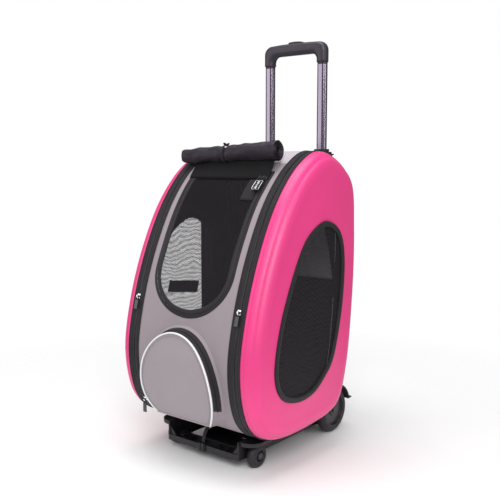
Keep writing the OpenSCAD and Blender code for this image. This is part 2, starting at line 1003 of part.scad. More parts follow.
module side_pull_left()
    color("#c9cbd0")
        on_panel(SIDE_SLIDER, -side_slider_x, pin_lift)
            pull(26);

// This pull hangs clear below the bag's curved edge, so it points straight down.
module low_pull()
    color("#c9cbd0")
        hang_from_panel(LOW_SLIDER, low_slider_x, pin_lift)
            pull(26);

// ---- Side shells -------------------------------------------------------------

shell_curve = closed_curve(BAG_KNOTS, SHELL_STEPS);

// Cross-section of the shell at station k, from the outer rim round to the inner rim.
function shell_section(k) =
    let (
        n = 5,
        t = heading(shell_curve, k),
        inward = [-t.y, t.x],
        p = shell_curve[k],
        w = window_curve[k],
        r = shell_round,
        q = r - shell_t,
        outer_mid = (p + r * inward + w) / 2,
        face_mid = rim_x + r + (shell_depth - r) * 0.7
    )
        concat(
            [for (j = [0:n]) let (a = 90 * j / n) shell_point(r * sin(a), p + r * (1 - cos(a)) * inward)],
            [
                shell_point(face_mid - rim_x, outer_mid),
                shell_point(shell_depth, w),
                shell_point(shell_depth - shell_t, w),
                shell_point(face_mid - rim_x - shell_t, outer_mid)
            ],
            [for (j = [n:-1:0]) let (a = 90 * j / n) shell_point(q * sin(a), p + (r - q * cos(a)) * inward)]
        );

function shell_point(out, yz) = [rim_x + out, yz.x, yz.y];

// Domed foam shell with its window left open, lofted station by station.
module shell_right()
    color("#e8407f") {
        stations = len(shell_curve);
        ring = len(shell_section(0));
        polyhedron(
            points = [for (k = [0:stations - 1]) each shell_section(k)],
            faces = [
                for (k = [0:stations - 1], j = [0:ring - 1])
                    let (
                        k2 = (k + 1) % stations,
                        j2 = (j + 1) % ring,
                        a = k * ring + j,
                        b = k * ring + j2,
                        c = k2 * ring + j2,
                        d = k2 * ring + j
                    )
                        each [[a, b, c], [a, c, d]]
            ]
        );
    }

module shell_left()
    mirror([1, 0, 0])
        shell_right();

// Mesh panel set into the window of a shell.
module window_mesh_right()
    color("#101012")
        along_x(face_x - shell_t + 0.5, face_x - shell_t + 1.5)
            polygon(window_curve);

module window_mesh_left()
    mirror([1, 0, 0])
        window_mesh_right();

// Moulded black rim round the window of a shell.
module window_rim_right()
    color("#1a1a1d")
        along_x(face_x, face_x + 2.5)
            difference() {
                polygon(inset(window_curve, -6));
                polygon(inset(window_curve, 5));
            }

module window_rim_left()
    mirror([1, 0, 0])
        window_rim_right();

front_beam();
side_rail_left();
side_rail_right();
center_spine();
rear_beam();
front_fenders();
rear_mudguards();
front_axles();
rear_axle();
axle_caps();
outer_tubes();
top_bracket();
frame_screws();
front_latch();
front_strap();
front_tyre_left();
front_hub_left();
front_tyre_right();
front_hub_right();
rear_tyre_left();
rear_hub_left();
rear_tyre_right();
rear_hub_right();
middle_tubes();
middle_bushes();
inner_tubes();
inner_guides();
grip();
release_button();
button_spring();
push_rods();
front_panel();
top_panel();
back_panel();
bottom_panel();
zip_band_left();
zip_band_right();
window_border();
floor_cushion();
rolled_cover();
roll_tie();
pocket_wall();
back_sleeve();
band_sliders();
door_sliders();
shell_left();
shell_right();
window_mesh_left();
window_mesh_right();
window_rim_left();
window_rim_right();
door_binding();
door_mesh();
pocket_face();
pocket_piping();
door_pull_upper();
door_pull_lower();
side_pull_left();
side_pull_right();
low_pull();
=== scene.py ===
"""Looks of a wheeled soft-sided pet carrier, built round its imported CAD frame."""

import json
import math

import bmesh
import bpy
import numpy as np
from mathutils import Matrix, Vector, noise


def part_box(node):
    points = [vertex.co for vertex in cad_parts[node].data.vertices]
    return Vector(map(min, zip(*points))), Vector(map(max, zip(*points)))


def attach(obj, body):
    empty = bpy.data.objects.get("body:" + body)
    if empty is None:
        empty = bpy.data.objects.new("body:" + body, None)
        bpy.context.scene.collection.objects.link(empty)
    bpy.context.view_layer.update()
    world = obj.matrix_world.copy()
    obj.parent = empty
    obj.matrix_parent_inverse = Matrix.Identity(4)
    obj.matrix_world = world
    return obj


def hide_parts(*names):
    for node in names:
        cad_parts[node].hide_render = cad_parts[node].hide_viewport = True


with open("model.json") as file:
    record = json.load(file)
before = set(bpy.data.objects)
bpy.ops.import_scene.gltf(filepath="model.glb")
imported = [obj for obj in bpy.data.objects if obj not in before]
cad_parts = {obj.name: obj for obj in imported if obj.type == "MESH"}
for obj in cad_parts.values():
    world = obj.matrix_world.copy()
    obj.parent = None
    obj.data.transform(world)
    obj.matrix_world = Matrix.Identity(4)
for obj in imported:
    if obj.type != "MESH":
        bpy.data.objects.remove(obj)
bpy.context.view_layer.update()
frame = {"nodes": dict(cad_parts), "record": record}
nodes = frame["nodes"]

MM = 0.001

# ---- Places taken from the frame ---------------------------------------------


def middle(node, axis):
    low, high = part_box(node)
    return (low[axis] + high[axis]) / 2


AXLE_Y = middle("rear_axle", 1)
PANEL_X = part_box("front_panel")[1].x
BAND_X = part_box("zip_band_right")[1].x
RIM_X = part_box("shell_right")[0].x
FACE_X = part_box("shell_right")[1].x
DOOR_LOW, DOOR_TOP = (corner.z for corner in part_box("window_border"))
POCKET_LOW, POCKET_TOP = (corner.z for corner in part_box("pocket_wall"))

WALL = 3 * MM
SHELL_ROUND = 31 * MM
DOOR_HALF = 102.5 * MM
DOOR_FLARE = 3 * MM
DOOR_MID = 385 * MM
DOOR_SHOULDER = 430 * MM
POCKET_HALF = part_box("pocket_wall")[1].x
POCKET_WAIST = POCKET_LOW + 60 * MM
POCKET_FOOT_DROP = 92 * MM

# Side outline of the bag in [y, z] millimetres, y from the rear axle. It starts at the crown and
# runs forward, down the front, back along the floor and up the back.
BAG_KNOTS = [
    (-105, 613), (-180, 589), (-250, 519), (-306, 417), (-344, 305), (-358, 205), (-335, 113),
    (-270, 69), (-150, 66), (-66, 86), (-28, 167), (-8, 310), (-4, 455), (-21, 561),
]
# Outline of a side window, with one knot facing each knot of the bag's outline.
WINDOW_KNOTS = [
    (-128, 472), (-168, 463), (-207, 433), (-247, 365), (-280, 284), (-294, 208), (-277, 163),
    (-232, 144), (-180, 147), (-138, 172), (-108, 207), (-82, 295), (-73, 390), (-87, 448),
]
KNOTS = len(BAG_KNOTS)
FINE = 24

# ---- Curves -------------------------------------------------------------------


def closed_curve(knots, steps):
    """Smooth closed curve through the knots as an array of (y, z) in metres."""
    b = np.array(knots, float) * MM + (AXLE_Y, 0)
    a, c, d = np.roll(b, 1, 0), np.roll(b, -1, 0), np.roll(b, -2, 0)
    t = (np.arange(steps) / steps)[:, None, None]
    points = 0.5 * (
        2 * b + (c - a) * t + (2 * a - 5 * b + 4 * c - d) * t**2
        + (3 * b - a - 3 * c + d) * t**3
    )
    return points.transpose(1, 0, 2).reshape(-1, 2)


def outward(curve):
    """Unit normals of a closed curve that point away from what it encloses."""
    heading = np.roll(curve, -1, 0) - np.roll(curve, 1, 0)
    heading /= np.linalg.norm(heading, axis=1)[:, None]
    return np.stack([heading[:, 1], -heading[:, 0]], 1)


BAG = closed_curve(BAG_KNOTS, FINE)
BAG_OUT = outward(BAG)
BAG_SLOPE = ((np.roll(BAG, -1, 0) - np.roll(BAG, 1, 0)) * FINE / 2)[:, 1:2]


def around(values, u):
    """Value of a periodic table at u, counted in knots."""
    at = (np.asarray(u, float) * FINE) % len(values)
    low = np.floor(at).astype(int) % len(values)
    part = (at - np.floor(at))[..., None]
    return values[low] * (1 - part) + values[(low + 1) % len(values)] * part


# Stretches of the outline down the back and along the floor, the floor sorted from front to rear.
BAG_BACK = around(BAG, np.linspace(9.6, 13.4, 300))
BAG_FLOOR = around(BAG, np.linspace(6.3, 9.4, 300))
BAG_FLOOR = BAG_FLOOR[np.argsort(BAG_FLOOR[:, 0])]


def on_bag(x, u, lift=0.0):
    """Points on the bag's outline surface, raised by lift. The three may be arrays."""
    x, u, lift = np.broadcast_arrays(
        np.asarray(x, float), np.asarray(u, float), np.asarray(lift, float)
    )
    yz = around(BAG, u) + around(BAG_OUT, u) * lift[..., None]
    return np.stack([x, yz[..., 0], yz[..., 1]], -1)


def front_u(z):
    """Knot count down the front of the bag at height z."""
    u = np.linspace(0.2, 7.2, 1000)
    heights = around(BAG, u)[:, 1]
    return np.interp(-np.asarray(z, float), -heights, u)


def on_front(x, z, lift=0.0):
    """Points on the front of the bag that stand lift proud of it and end up at height z."""
    x, z, lift = np.broadcast_arrays(
        np.asarray(x, float), np.asarray(z, float), np.asarray(lift, float)
    )
    u = front_u(z)
    for _ in range(4):
        reached = around(BAG, u)[..., 1] + around(BAG_OUT, u)[..., 1] * lift
        u = u + (reached - z) / np.maximum(0.02, -around(BAG_SLOPE, u)[..., 0])
    return on_bag(x, np.clip(u, 0.1, 8.5), lift)


def unit(vectors):
    """Each row of vectors brought to length one."""
    return vectors / np.maximum(np.linalg.norm(vectors, axis=1), 1e-9)[:, None]


def arc_lengths(points):
    """Running length along a list of points."""
    steps = np.linalg.norm(np.diff(points, axis=0), axis=1)
    return np.concatenate([[0], np.cumsum(steps)])


def resample(points, spacing, closed=False):
    """Points spaced evenly along a line, and the directions there."""
    points = np.asarray(points, float)
    if closed:
        points = np.vstack([points, points[:1]])
    run = arc_lengths(points)
    count = max(2, int(round(run[-1] / spacing)))
    at = np.linspace(0, run[-1], count + 1)[: count if closed else count + 1]
    line, ahead, behind = (
        np.stack([np.interp(at + shift, run, points[:, k]) for k in range(3)], 1)
        for shift in (0, 0.5 * MM, -0.5 * MM)
    )
    return line, unit(ahead - behind)


def rough(points, scale, seed=0.0):
    """Smooth noise from -1 to 1 at each point, with features about 1 / scale metres across."""
    flat = np.asarray(points, float).reshape(-1, 3)
    shift = Vector((seed, seed * 1.7, -seed))
    values = [noise.noise(Vector(p) * scale + shift) for p in flat]
    return np.array(values).reshape(np.asarray(points).shape[:-1])


def bell(x, centre, width):
    """Smooth bump of height one round centre."""
    return np.exp(-(((np.asarray(x, float) - centre) / width) ** 2))


def smooth(t):
    """Eased step from 0 to 1."""
    t = np.clip(t, 0, 1)
    return t * t * (3 - 2 * t)


def rounded_oblong(half_a, half_b, corner, steps):
    """Outline (a, b) of an oblong with round corners."""
    outline = []
    for sign_a, sign_b, start in ((1, 1, 0), (-1, 1, 90), (-1, -1, 180), (1, -1, 270)):
        for turn in np.radians(np.linspace(start, start + 90, steps)):
            a = sign_a * (half_a - corner) + corner * math.cos(turn)
            b = sign_b * (half_b - corner) + corner * math.sin(turn)
            outline.append((a, b))
    return outline


# ---- Mesh building ------------------------------------------------------------


def new_mesh(name, verts, faces, body, mats, uvs=None, face_mats=None, soft=True):
    """Object from raw lists, riding on a CAD body."""
    mesh = bpy.data.meshes.new(name)
    mesh.from_pydata([tuple(v) for v in verts], [], [tuple(f) for f in faces])
    mesh.validate()
    for mat in mats if isinstance(mats, (list, tuple)) else [mats]:
        mesh.materials.append(mat)
    if face_mats is not None:
        mesh.polygons.foreach_set("material_index", face_mats)
    if uvs is not None:
        layer = mesh.uv_layers.new(name="UVMap")
        index = np.zeros(len(mesh.loops), int)
        mesh.loops.foreach_get("vertex_index", index)
        layer.data.foreach_set("uv", np.asarray(uvs, float)[index].ravel())
    mesh.polygons.foreach_set("use_smooth", [soft] * len(mesh.polygons))
    mesh.update()
    obj = bpy.data.objects.new(name, mesh)
    bpy.context.scene.collection.objects.link(obj)
    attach(obj, body)
    return obj


def grid_uvs(points):
    """UVs in metres: u along the columns and v along the rows, as cloth lies."""
    across = np.linalg.norm(np.diff(points, axis=1), axis=2)
    down = np.linalg.norm(np.diff(points, axis=0), axis=2)
    u = np.concatenate([np.zeros((len(points), 1)), np.cumsum(across, 1)], 1)
    u = u - u.mean(1, keepdims=True)
    v = np.concatenate([[0], np.cumsum(down.mean(1))])
    return np.stack([u, np.broadcast_to(v[:, None], u.shape)], -1).reshape(-1, 2)


def grid(name, points, body, mats, ring_rows=False, ring_cols=False, keep=None, flip=False, cell_mats=None):
    """Surface through rows x columns of points. keep is a mask of cells that stay."""
    rows, cols = points.shape[:2]
    faces, picked = [], []
    for i in range(rows if ring_rows else rows - 1):
        for j in range(cols if ring_cols else cols - 1):
            if keep is not None and not keep[i][j]:
                continue
            i2, j2 = (i + 1) % rows, (j + 1) % cols
            face = [i * cols + j, i * cols + j2, i2 * cols + j2, i2 * cols + j]
            faces.append(face[::-1] if flip else face)
            picked.append(0 if cell_mats is None else int(cell_mats[i][j]))
    return new_mesh(
        name, points.reshape(-1, 3), faces, body, mats, grid_uvs(points),
        picked if cell_mats is not None else None,
    )


def thicken(obj, thickness, offset):
    """Gives a surface the thickness of its cloth: inward from its face at -1, both ways at 0."""
    made = obj.modifiers.new("thickness", "SOLIDIFY")
    made.thickness = thickness
    made.offset = offset
    made.use_even_offset = False


def fit(obj, node=None):
    """Lets a piece stand for a CAD node by hiding that node."""
    if node:
        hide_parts(node)


# Narrower webbing is counted as wider than it is.
NARROWEST = 11 * MM


def declare(obj, width, length, held, rests_on):
    """Works out a sheet of cloth's size, rounded to whole millimetres, and keeps it nowhere.

    Known fault: the area isn't worked out from the cut's pattern.
    """
    width, length = round(max(width, NARROWEST), 3), round(max(length, NARROWEST), 3)


def sew(obj, thickness, flat, held, rests_on=(), node=None, offset=-1.0):
    """Gives a surface the thickness of its cloth and lets it stand for its CAD node."""
    thicken(obj, thickness, offset)
    fit(obj, node)
    declare(obj, *flat, held, list(rests_on))


def tube(name, path, radius, body, mat, closed=True, sides=10, up=(1.0, 0, 0)):
    """Round cord along a line. up is a direction that the line doesn't run in."""
    path = np.asarray(path, float)
    along = unit(np.roll(path, -1, 0) - np.roll(path, 1, 0) if closed else np.gradient(path, axis=0))
    side = unit(np.cross(along, np.broadcast_to(up, path.shape)))
    third = np.cross(side, along)
    angle = np.linspace(0, 2 * math.pi, sides, endpoint=False)
    rings = path[:, None] + radius * (
        np.cos(angle)[None, :, None] * side[:, None] + np.sin(angle)[None, :, None] * third[:, None]
    )
    obj = grid(name, rings, body, mat, ring_rows=closed, ring_cols=True)
    if not closed:
        cap_ends(obj, len(path), sides)
    return obj


def cap_ends(obj, rows, sides):
    """Closes both ends of an open lofted tube."""
    bm = bmesh.new()
    bm.from_mesh(obj.data)
    bm.verts.ensure_lookup_table()
    bm.faces.new([bm.verts[i] for i in range(sides)])
    bm.faces.new([bm.verts[(rows - 1) * sides + i] for i in reversed(range(sides))])
    bmesh.ops.recalc_face_normals(bm, faces=bm.faces)
    bm.to_mesh(obj.data)
    bm.free()


def blocks(name, centres, along, side, size, body, mat):
    """Many small rounded blocks, such as zip teeth or stitches. size is along, across, high."""
    centres, along, side = (np.asarray(v, float) for v in (centres, along, side))
    side = side - along * (side * along).sum(1, keepdims=True)
    side = unit(side)
    high = np.cross(along, side)
    ring = [
        (-0.5, -0.3), (-0.3, -0.5), (0.3, -0.5), (0.5, -0.3),
        (0.5, 0.3), (0.3, 0.5), (-0.3, 0.5), (-0.5, 0.3),
    ]
    verts = []
    for level, shrink in ((-0.5, 1.0), (0.25, 1.0), (0.5, 0.6)):
        for a, c in ring:
            verts.append(
                centres + along * (a * shrink * size[0]) + side * (c * shrink * size[1])
                + high * (level * size[2])
            )
    verts = np.stack(verts, 1)
    count = len(ring)
    one = [tuple(reversed(range(count)))]
    for k in range(2):
        for i in range(count):
            i2 = (i + 1) % count
            one.append((k * count + i, k * count + i2, (k + 1) * count + i2, (k + 1) * count + i))
    one.append(tuple(range(2 * count, 3 * count)))
    faces = [tuple(v + n * 3 * count for v in f) for n in range(len(centres)) for f in one]
    return new_mesh(name, verts.reshape(-1, 3), faces, body, mat, soft=False)


def seam_frame(place, spacing, closed):
    """Points along a seam with its directions along, out of and across the surface."""
    low, along = resample(place(0.0), spacing, closed)
    high, _ = resample(place(2 * MM), spacing, closed)
    count = min(len(low), len(high))
    low, along = low[:count], along[:count]
    away = unit(high[:count] - low)
    return low, along, away, np.cross(along, away)


def stitch_line(name, place, body, colour, spacing=4.2 * MM, closed=True):
    """Row of stitches. place(lift) gives the seam's line raised by lift."""
    low, along, away, side = seam_frame(place, spacing, closed)
    size = (2.9 * MM, 0.7 * MM, 0.6 * MM)
    fit(blocks(name, low + away * 0.1 * MM, along, side, size, body, MATS[f"{colour}_thread"]))


def zip_chain(name, place, width=5 * MM, pitch=2.2 * MM, closed=True):
    """Interlocked teeth along a line. place(lift) gives the line raised by lift."""
    low, along, away, side = seam_frame(place, pitch, closed)
    hand = np.where(np.arange(len(low)) % 2 == 0, 1.0, -1.0)[:, None]
    centres = low + side * hand * width * 0.16 + away * 0.5 * MM
    size = (1.3 * MM, width * 0.66, 1.5 * MM)
    fit(blocks(name, centres, along, side, size, "carrier", MATS["zip_teeth"]))


# ---- Materials ----------------------------------------------------------------


class Shader:
    """Short way to write a node material."""

    def __init__(self, name):
        self.mat = bpy.data.materials.new(name)
        self.mat.use_nodes = True
        self.tree = self.mat.node_tree
        self.main = self.tree.nodes["Principled BSDF"]

    def node(self, kind, **inputs):
        made = self.tree.nodes.new(kind)
        for key, value in inputs.items():
            self.feed(made, key, value)
        return made

    def feed(self, made, key, value):
        socket = made.inputs[int(key[1:])] if key[0] == "i" and key[1:].isdigit() else made.inputs[key]
        if isinstance(value, bpy.types.NodeSocket):
            self.tree.links.new(value, socket)
        else:
            socket.default_value = value

    def math(self, operation, a, b=0.0, c=0.0):
        made = self.tree.nodes.new("ShaderNodeMath")
        made.operation = operation
        for key, value in zip(("i0", "i1", "i2"), (a, b, c)):
            self.feed(made, key, value)
        return made.outputs[0]

    def where(self, kind="Object"):
        """Coordinates of the object, or of its cloth with UV."""
        return self.tree.nodes.new("ShaderNodeTexCoord").outputs[kind]

    def noise(self, scale, detail=3.0, rough=0.55, stretch=None):
        vector = self.where()
        if stretch is not None:
            mapped = self.node("ShaderNodeMapping", Vector=vector)
            mapped.inputs["Scale"].default_value = stretch
            vector = mapped.outputs[0]
        made = self.node("ShaderNodeTexNoise", Vector=vector, Scale=scale, Detail=detail, Roughness=rough)
        return made.outputs["Fac"]

    def between(self, factor, low, high):
        """Maps a factor from 0 to 1 onto low to high."""
        return self.math("MULTIPLY_ADD", factor, high - low, low)

    def tint(self, factor, dark, light):
        ramp = self.tree.nodes.new("ShaderNodeValToRGB")
        ramp.color_ramp.elements[0].color = (*dark, 1)
        ramp.color_ramp.elements[1].color = (*light, 1)
        ramp.color_ramp.elements[0].position = 0.3
        ramp.color_ramp.elements[1].position = 0.7
        self.feed(ramp, "i0", factor)
        return ramp.outputs[0]

    def bump(self, height, distance, strength=1.0, after=None):
        made = self.node("ShaderNodeBump", Height=height, Distance=distance, Strength=strength)
        if after is not None:
            self.feed(made, "Normal", after)
        return made.outputs[0]

    def cloth(self, pitch_u, pitch_v):
        """Cloth coordinates counted in threads."""
        split = self.node("ShaderNodeSeparateXYZ", Vector=self.where("UV"))
        return self.math("DIVIDE", split.outputs[0], pitch_u), self.math("DIVIDE", split.outputs[1], pitch_v)

    def off_middle(self, count):
        """Place within one thread's width, from -0.5 to 0.5."""
        return self.math("SUBTRACT", self.math("FRACT", count), 0.5)

    def threads(self, pitch_u, pitch_v):
        """Plain weave height from 0 to 1, in cloth coordinates."""
        u, v = self.cloth(pitch_u, pitch_v)
        over = self.math("MODULO", self.math("ADD", self.math("FLOOR", u), self.math("FLOOR", v)), 2.0)
        over = self.math("ABSOLUTE", over)
        warp, weft = (
            self.math("ABSOLUTE", self.math("SINE", self.math("MULTIPLY", count, math.pi)))
            for count in (u, v)
        )
        first = self.math("MULTIPLY", warp, over)
        return self.math("ADD", first, self.math("MULTIPLY", weft, self.math("SUBTRACT", 1.0, over)))

    def set(self, **values):
        names = {
            "colour": "Base Color", "rough": "Roughness", "metal": "Metallic", "normal": "Normal",
            "alpha": "Alpha", "coat": "Coat Weight", "coat_rough": "Coat Roughness",
            "sheen": "Sheen Weight", "sheen_rough": "Sheen Roughness", "specular": "Specular IOR Level",
        }
        for key, value in values.items():
            self.feed(self.main, names[key], value)
        return self.mat


def scaled(colour, factor):
    return tuple(min(1.0, c * factor) for c in colour)


def woven(name, colour, pitch=0.6 * MM, rough=0.7, sheen=0.15, crumple=0.4, spread=0.1):
    """Coated woven cloth with a fine thread pattern and soft creases."""
    s = Shader(name)
    weave = s.threads(pitch, pitch)
    stains = s.noise(9, 4)
    fine = s.noise(240, 2)
    # Colour follows the stains and the thread height: the stains are the cloth's own uneven tone, while the
    # lighter thread crowns and darker hollows between threads are painted shade.
    stains_and_thread_shade = s.math("ADD", s.math("MULTIPLY", stains, 0.65), s.math("MULTIPLY", weave, 0.35))
    base = s.tint(stains_and_thread_shade, scaled(colour, 1 - spread), scaled(colour, 1 + spread))
    creases = s.bump(s.noise(30, 5, 0.6), crumple * 3 * MM, 0.35)
    threads = s.bump(s.math("ADD", weave, s.math("MULTIPLY", fine, 0.4)), 0.12 * MM, 0.6, creases)
    return s.set(
        colour=base, rough=s.between(fine, rough - 0.06, rough + 0.08), normal=threads,
        sheen=sheen, sheen_rough=0.4, specular=0.35,
    )


def webbing(name, colour, pitch=1.5 * MM, rough=0.62):
    """Ribbed tape: ribs run across, with a fine thread."""
    s = Shader(name)
    weave = s.threads(pitch, pitch * 0.55)
    fine = s.noise(300, 2)
    # Colour is lighter on the rib crowns and darker in the grooves between them, which is painted shade; the
    # fine noise is the tape's own uneven tone.
    base = s.tint(s.math("ADD", s.math("MULTIPLY", weave, 0.6), s.math("MULTIPLY", fine, 0.4)),
                  scaled(colour, 0.75), scaled(colour, 1.35))
    ribs = s.bump(weave, 0.25 * MM, 0.7)
    return s.set(
        colour=base, rough=s.between(fine, rough - 0.08, rough + 0.08), normal=ribs,
        sheen=0.05, sheen_rough=0.45, specular=0.35,
    )


def foam_skin(name, colour):
    """Smooth stretched cloth bonded to moulded foam: very fine knit, soft gloss, slight mottling."""
    s = Shader(name)
    knit = s.node("ShaderNodeTexVoronoi", Vector=s.where("UV"), Scale=1250.0)
    mottle = s.noise(7, 3)
    fine = s.noise(500, 2)
    base = s.tint(mottle, scaled(colour, 0.95), scaled(colour, 1.04))
    dents = s.bump(s.noise(16, 3, 0.5), 1.6 * MM, 0.25)
    skin = s.bump(knit.outputs["Distance"], 0.12 * MM, 0.35, dents)
    return s.set(
        colour=base, rough=s.between(fine, 0.38, 0.5), normal=skin,
        coat=0.25, coat_rough=0.38, sheen=0.1, sheen_rough=0.35, specular=0.5,
    )


def netting(s, colour, solid, height):
    """Finish of netting whose threads are where solid is 1."""
    fine = s.noise(400, 2)
    return s.set(
        colour=s.tint(fine, scaled(colour, 0.7), scaled(colour, 1.4)), rough=s.between(fine, 0.5, 0.7),
        alpha=solid, normal=s.bump(height, 0.2 * MM, 0.6), specular=0.4,
    )


def open_mesh(name, colour, pitch, hole):
    """Knitted netting with real see-through holes, in cloth coordinates."""
    s = Shader(name)
    u, v = s.cloth(pitch, pitch)
    shift = s.math("MULTIPLY", s.math("MODULO", s.math("ABSOLUTE", s.math("FLOOR", v)), 2.0), 0.5)
    du, dv = s.off_middle(s.math("ADD", u, shift)), s.off_middle(v)
    far = s.math("SQRT", s.math("ADD", s.math("MULTIPLY", du, du), s.math("MULTIPLY", dv, dv)))
    return netting(s, colour, s.math("GREATER_THAN", far, hole), s.math("SUBTRACT", 0.7, far))


def ribbed_net(name, colour, rib_pitch, thread_pitch, uneven):
    """Side netting: level ribs joined by fine upright threads, with real gaps between."""
    s = Shader(name)
    u, v = s.cloth(thread_pitch, rib_pitch)
    across, down = (s.math("ABSOLUTE", s.off_middle(count)) for count in (u, v))
    waves = s.math("MULTIPLY_ADD", s.noise(13, 2), 34.0, s.math("MULTIPLY", v, rib_pitch / (1.6 * MM)))
    open_part = s.math("MULTIPLY_ADD", s.math("SINE", waves), uneven, 0.29)
    solid = s.math("MAXIMUM", s.math("GREATER_THAN", across, 0.41), s.math("GREATER_THAN", down, open_part))
    return netting(s, colour, solid, s.math("ADD", across, down))


def moulded(name, colour, rough=0.5, grain=900, depth=0.06 * MM, spread=0.12, coat=0.0):
    """Moulded plastic or rubber with a fine texture, faint scuffs and uneven gloss."""
    s = Shader(name)
    cloud = s.noise(14, 4)
    speck = s.noise(grain, 2)
    scuff = s.noise(60, 6, 0.7, (1, 1, 6))
    base = s.tint(cloud, scaled(colour, 1 - spread), scaled(colour, 1 + spread))
    level = s.math("ADD", s.math("MULTIPLY", cloud, 0.5), s.math("MULTIPLY", scuff, 0.5))
    return s.set(
        colour=base, rough=s.between(level, rough - 0.12, rough + 0.12),
        normal=s.bump(speck, depth, 0.5), coat=coat, coat_rough=0.25, specular=0.5,
    )


def metal(name, colour, rough, spread=0.06):
    """Polished metal, a little cloudy."""
    s = Shader(name)
    cloud = s.noise(12, 3)
    base = s.tint(cloud, scaled(colour, 1 - spread), scaled(colour, 1 + spread))
    return s.set(
        colour=base, metal=1.0, rough=s.between(cloud, rough - 0.05, rough + 0.05),
        normal=s.bump(cloud, 0.05 * MM, 0.05),
    )


PINK = (0.82, 0.042, 0.235)
GREY = (0.31, 0.265, 0.29)

# Values of each finish, in the order that its function takes them.
FINISHES = {
    foam_skin: {
        "pink_shell": (PINK,),
    },
    woven: {
        "lining": ((0.010, 0.009, 0.011), 0.8 * MM, 0.85, 0.03),
        "grey_lining": ((0.30, 0.285, 0.31), 0.8 * MM, 0.8, 0.05),
        "grey_canvas": (GREY, 0.7 * MM, 0.62, 0.2, 0.35, 0.05),
        # The top panel is the same grey canvas coloured lighter: a painted highlight for the light falling
        # on the bag's top.
        "top_canvas": ((0.50, 0.45, 0.50), 0.7 * MM, 0.6, 0.12, 0.35, 0.05),
        "pocket_canvas": ((0.34, 0.295, 0.325), 0.7 * MM, 0.6, 0.12, 0.35, 0.05),
        "black_canvas": ((0.014, 0.012, 0.016), 0.8 * MM, 0.7, 0.08, 0.5),
        "cushion_fabric": ((0.035, 0.035, 0.04), 0.9 * MM, 0.85, 0.4, 0.5),
        "cover_fabric": ((0.022, 0.015, 0.025), 0.45 * MM, 0.36, 0.1, 0.9),
        # Painted shade: the flap is coloured far darker than the door netting so that, though it faces up
        # into the light, it looks as dark as the netting under the roll.
        "flap_cloth": ((0.004, 0.0034, 0.0045), 0.6 * MM, 0.85, 0.0, 0.6),
        "white_piping": ((0.86, 0.86, 0.88), 0.5 * MM, 0.4, 0.1, 0.1, 0.04),
        "grey_piping": ((0.36, 0.32, 0.35), 0.5 * MM, 0.6, 0.1, 0.1, 0.05),
        "black_thread": ((0.03, 0.03, 0.034), 0.3 * MM, 0.6, 0.1, 0.1),
        "grey_thread": ((0.30, 0.27, 0.29), 0.3 * MM, 0.6, 0.1, 0.1),
        "pink_thread": ((0.7, 0.03, 0.17), 0.3 * MM, 0.6, 0.1, 0.1),
    },
    webbing: {
        "black_webbing": ((0.021, 0.016, 0.022),),
        "band_tape": ((0.017, 0.014, 0.018), 1.2 * MM, 0.66),
        "rim_plastic": ((0.012, 0.012, 0.013), 1.1 * MM, 0.5),
    },
    ribbed_net: {
        "black_mesh": ((0.024, 0.020, 0.027), 2.5 * MM, 1.3 * MM, 0.03),
        "slack_mesh": ((0.024, 0.020, 0.027), 2.5 * MM, 1.3 * MM, 0.10),
    },
    open_mesh: {
        "door_mesh": ((0.026, 0.021, 0.029), 1.5 * MM, 0.465),
    },
    moulded: {
        "zip_teeth": ((0.03, 0.03, 0.033), 0.35, 900, 0.03 * MM),
        "tray_plastic": ((0.012, 0.010, 0.013), 0.44),
        "collar_plastic": ((0.011, 0.011, 0.013), 0.4),
        "cap_plastic": ((0.03, 0.03, 0.033), 0.4),
        "grip_plastic": ((0.0372, 0.03, 0.0432), 0.42, 700),
        "tyre_rubber": ((0.018, 0.014, 0.019), 0.55, 500, 0.1 * MM),
        "hub_plastic": ((0.022, 0.018, 0.024), 0.36),
        "zip_black": ((0.02, 0.02, 0.022), 0.28, 900, 0.02 * MM, 0.1, 0.5),
    },
    metal: {
        "tube_metal": ((0.33, 0.28, 0.36), 0.24, 0.04),
        "axle_steel": ((0.6, 0.6, 0.62), 0.3),
        "zip_metal": ((0.8, 0.8, 0.82), 0.18),
    },
}
MATS = {name: make(name, *values) for make, kinds in FINISHES.items() for name, values in kinds.items()}

# ---- Moulded and metal parts of the frame --------------------------------------

SLOTS = {part["node"]: part["material_slot"] for part in frame["record"]["subparts"]}
ROUNDED = {
    "front_beam": 0.8, "side_rail_left": 0.7, "side_rail_right": 0.7, "center_spine": 0.6,
    "rear_beam": 1.4, "front_fenders": 1.0, "rear_mudguards": 0.7,
    "front_latch": 0.5, "release_button": 1.0, "band_sliders": 0.5,
    "door_sliders": 0.5, "door_pull_upper": 0.5, "door_pull_lower": 0.5, "side_pull_left": 0.5,
    "side_pull_right": 0.5, "low_pull": 0.5, "middle_bushes": 0.3, "axle_caps": 0.4,
    "rear_hub_left": 0.6, "rear_hub_right": 0.6, "front_hub_left": 0.5, "front_hub_right": 0.5,
}


def dress_frame():
    """Gives each CAD node its slot's finish and breaks the sharp edges of mouldings."""
    for name, obj in nodes.items():
        obj.data.materials.clear()
        obj.data.materials.append(MATS[SLOTS[name]])
        if name in ROUNDED:
            weld = obj.modifiers.new("weld", "WELD")
            weld.merge_threshold = 0.01 * MM
            edge = obj.modifiers.new("edges", "BEVEL")
            edge.width = ROUNDED[name] * MM
            edge.segments = 3
            edge.limit_method = "ANGLE"
            edge.angle_limit = math.radians(38)
            edge.harden_normals = True
            edge.use_clamp_overlap = True


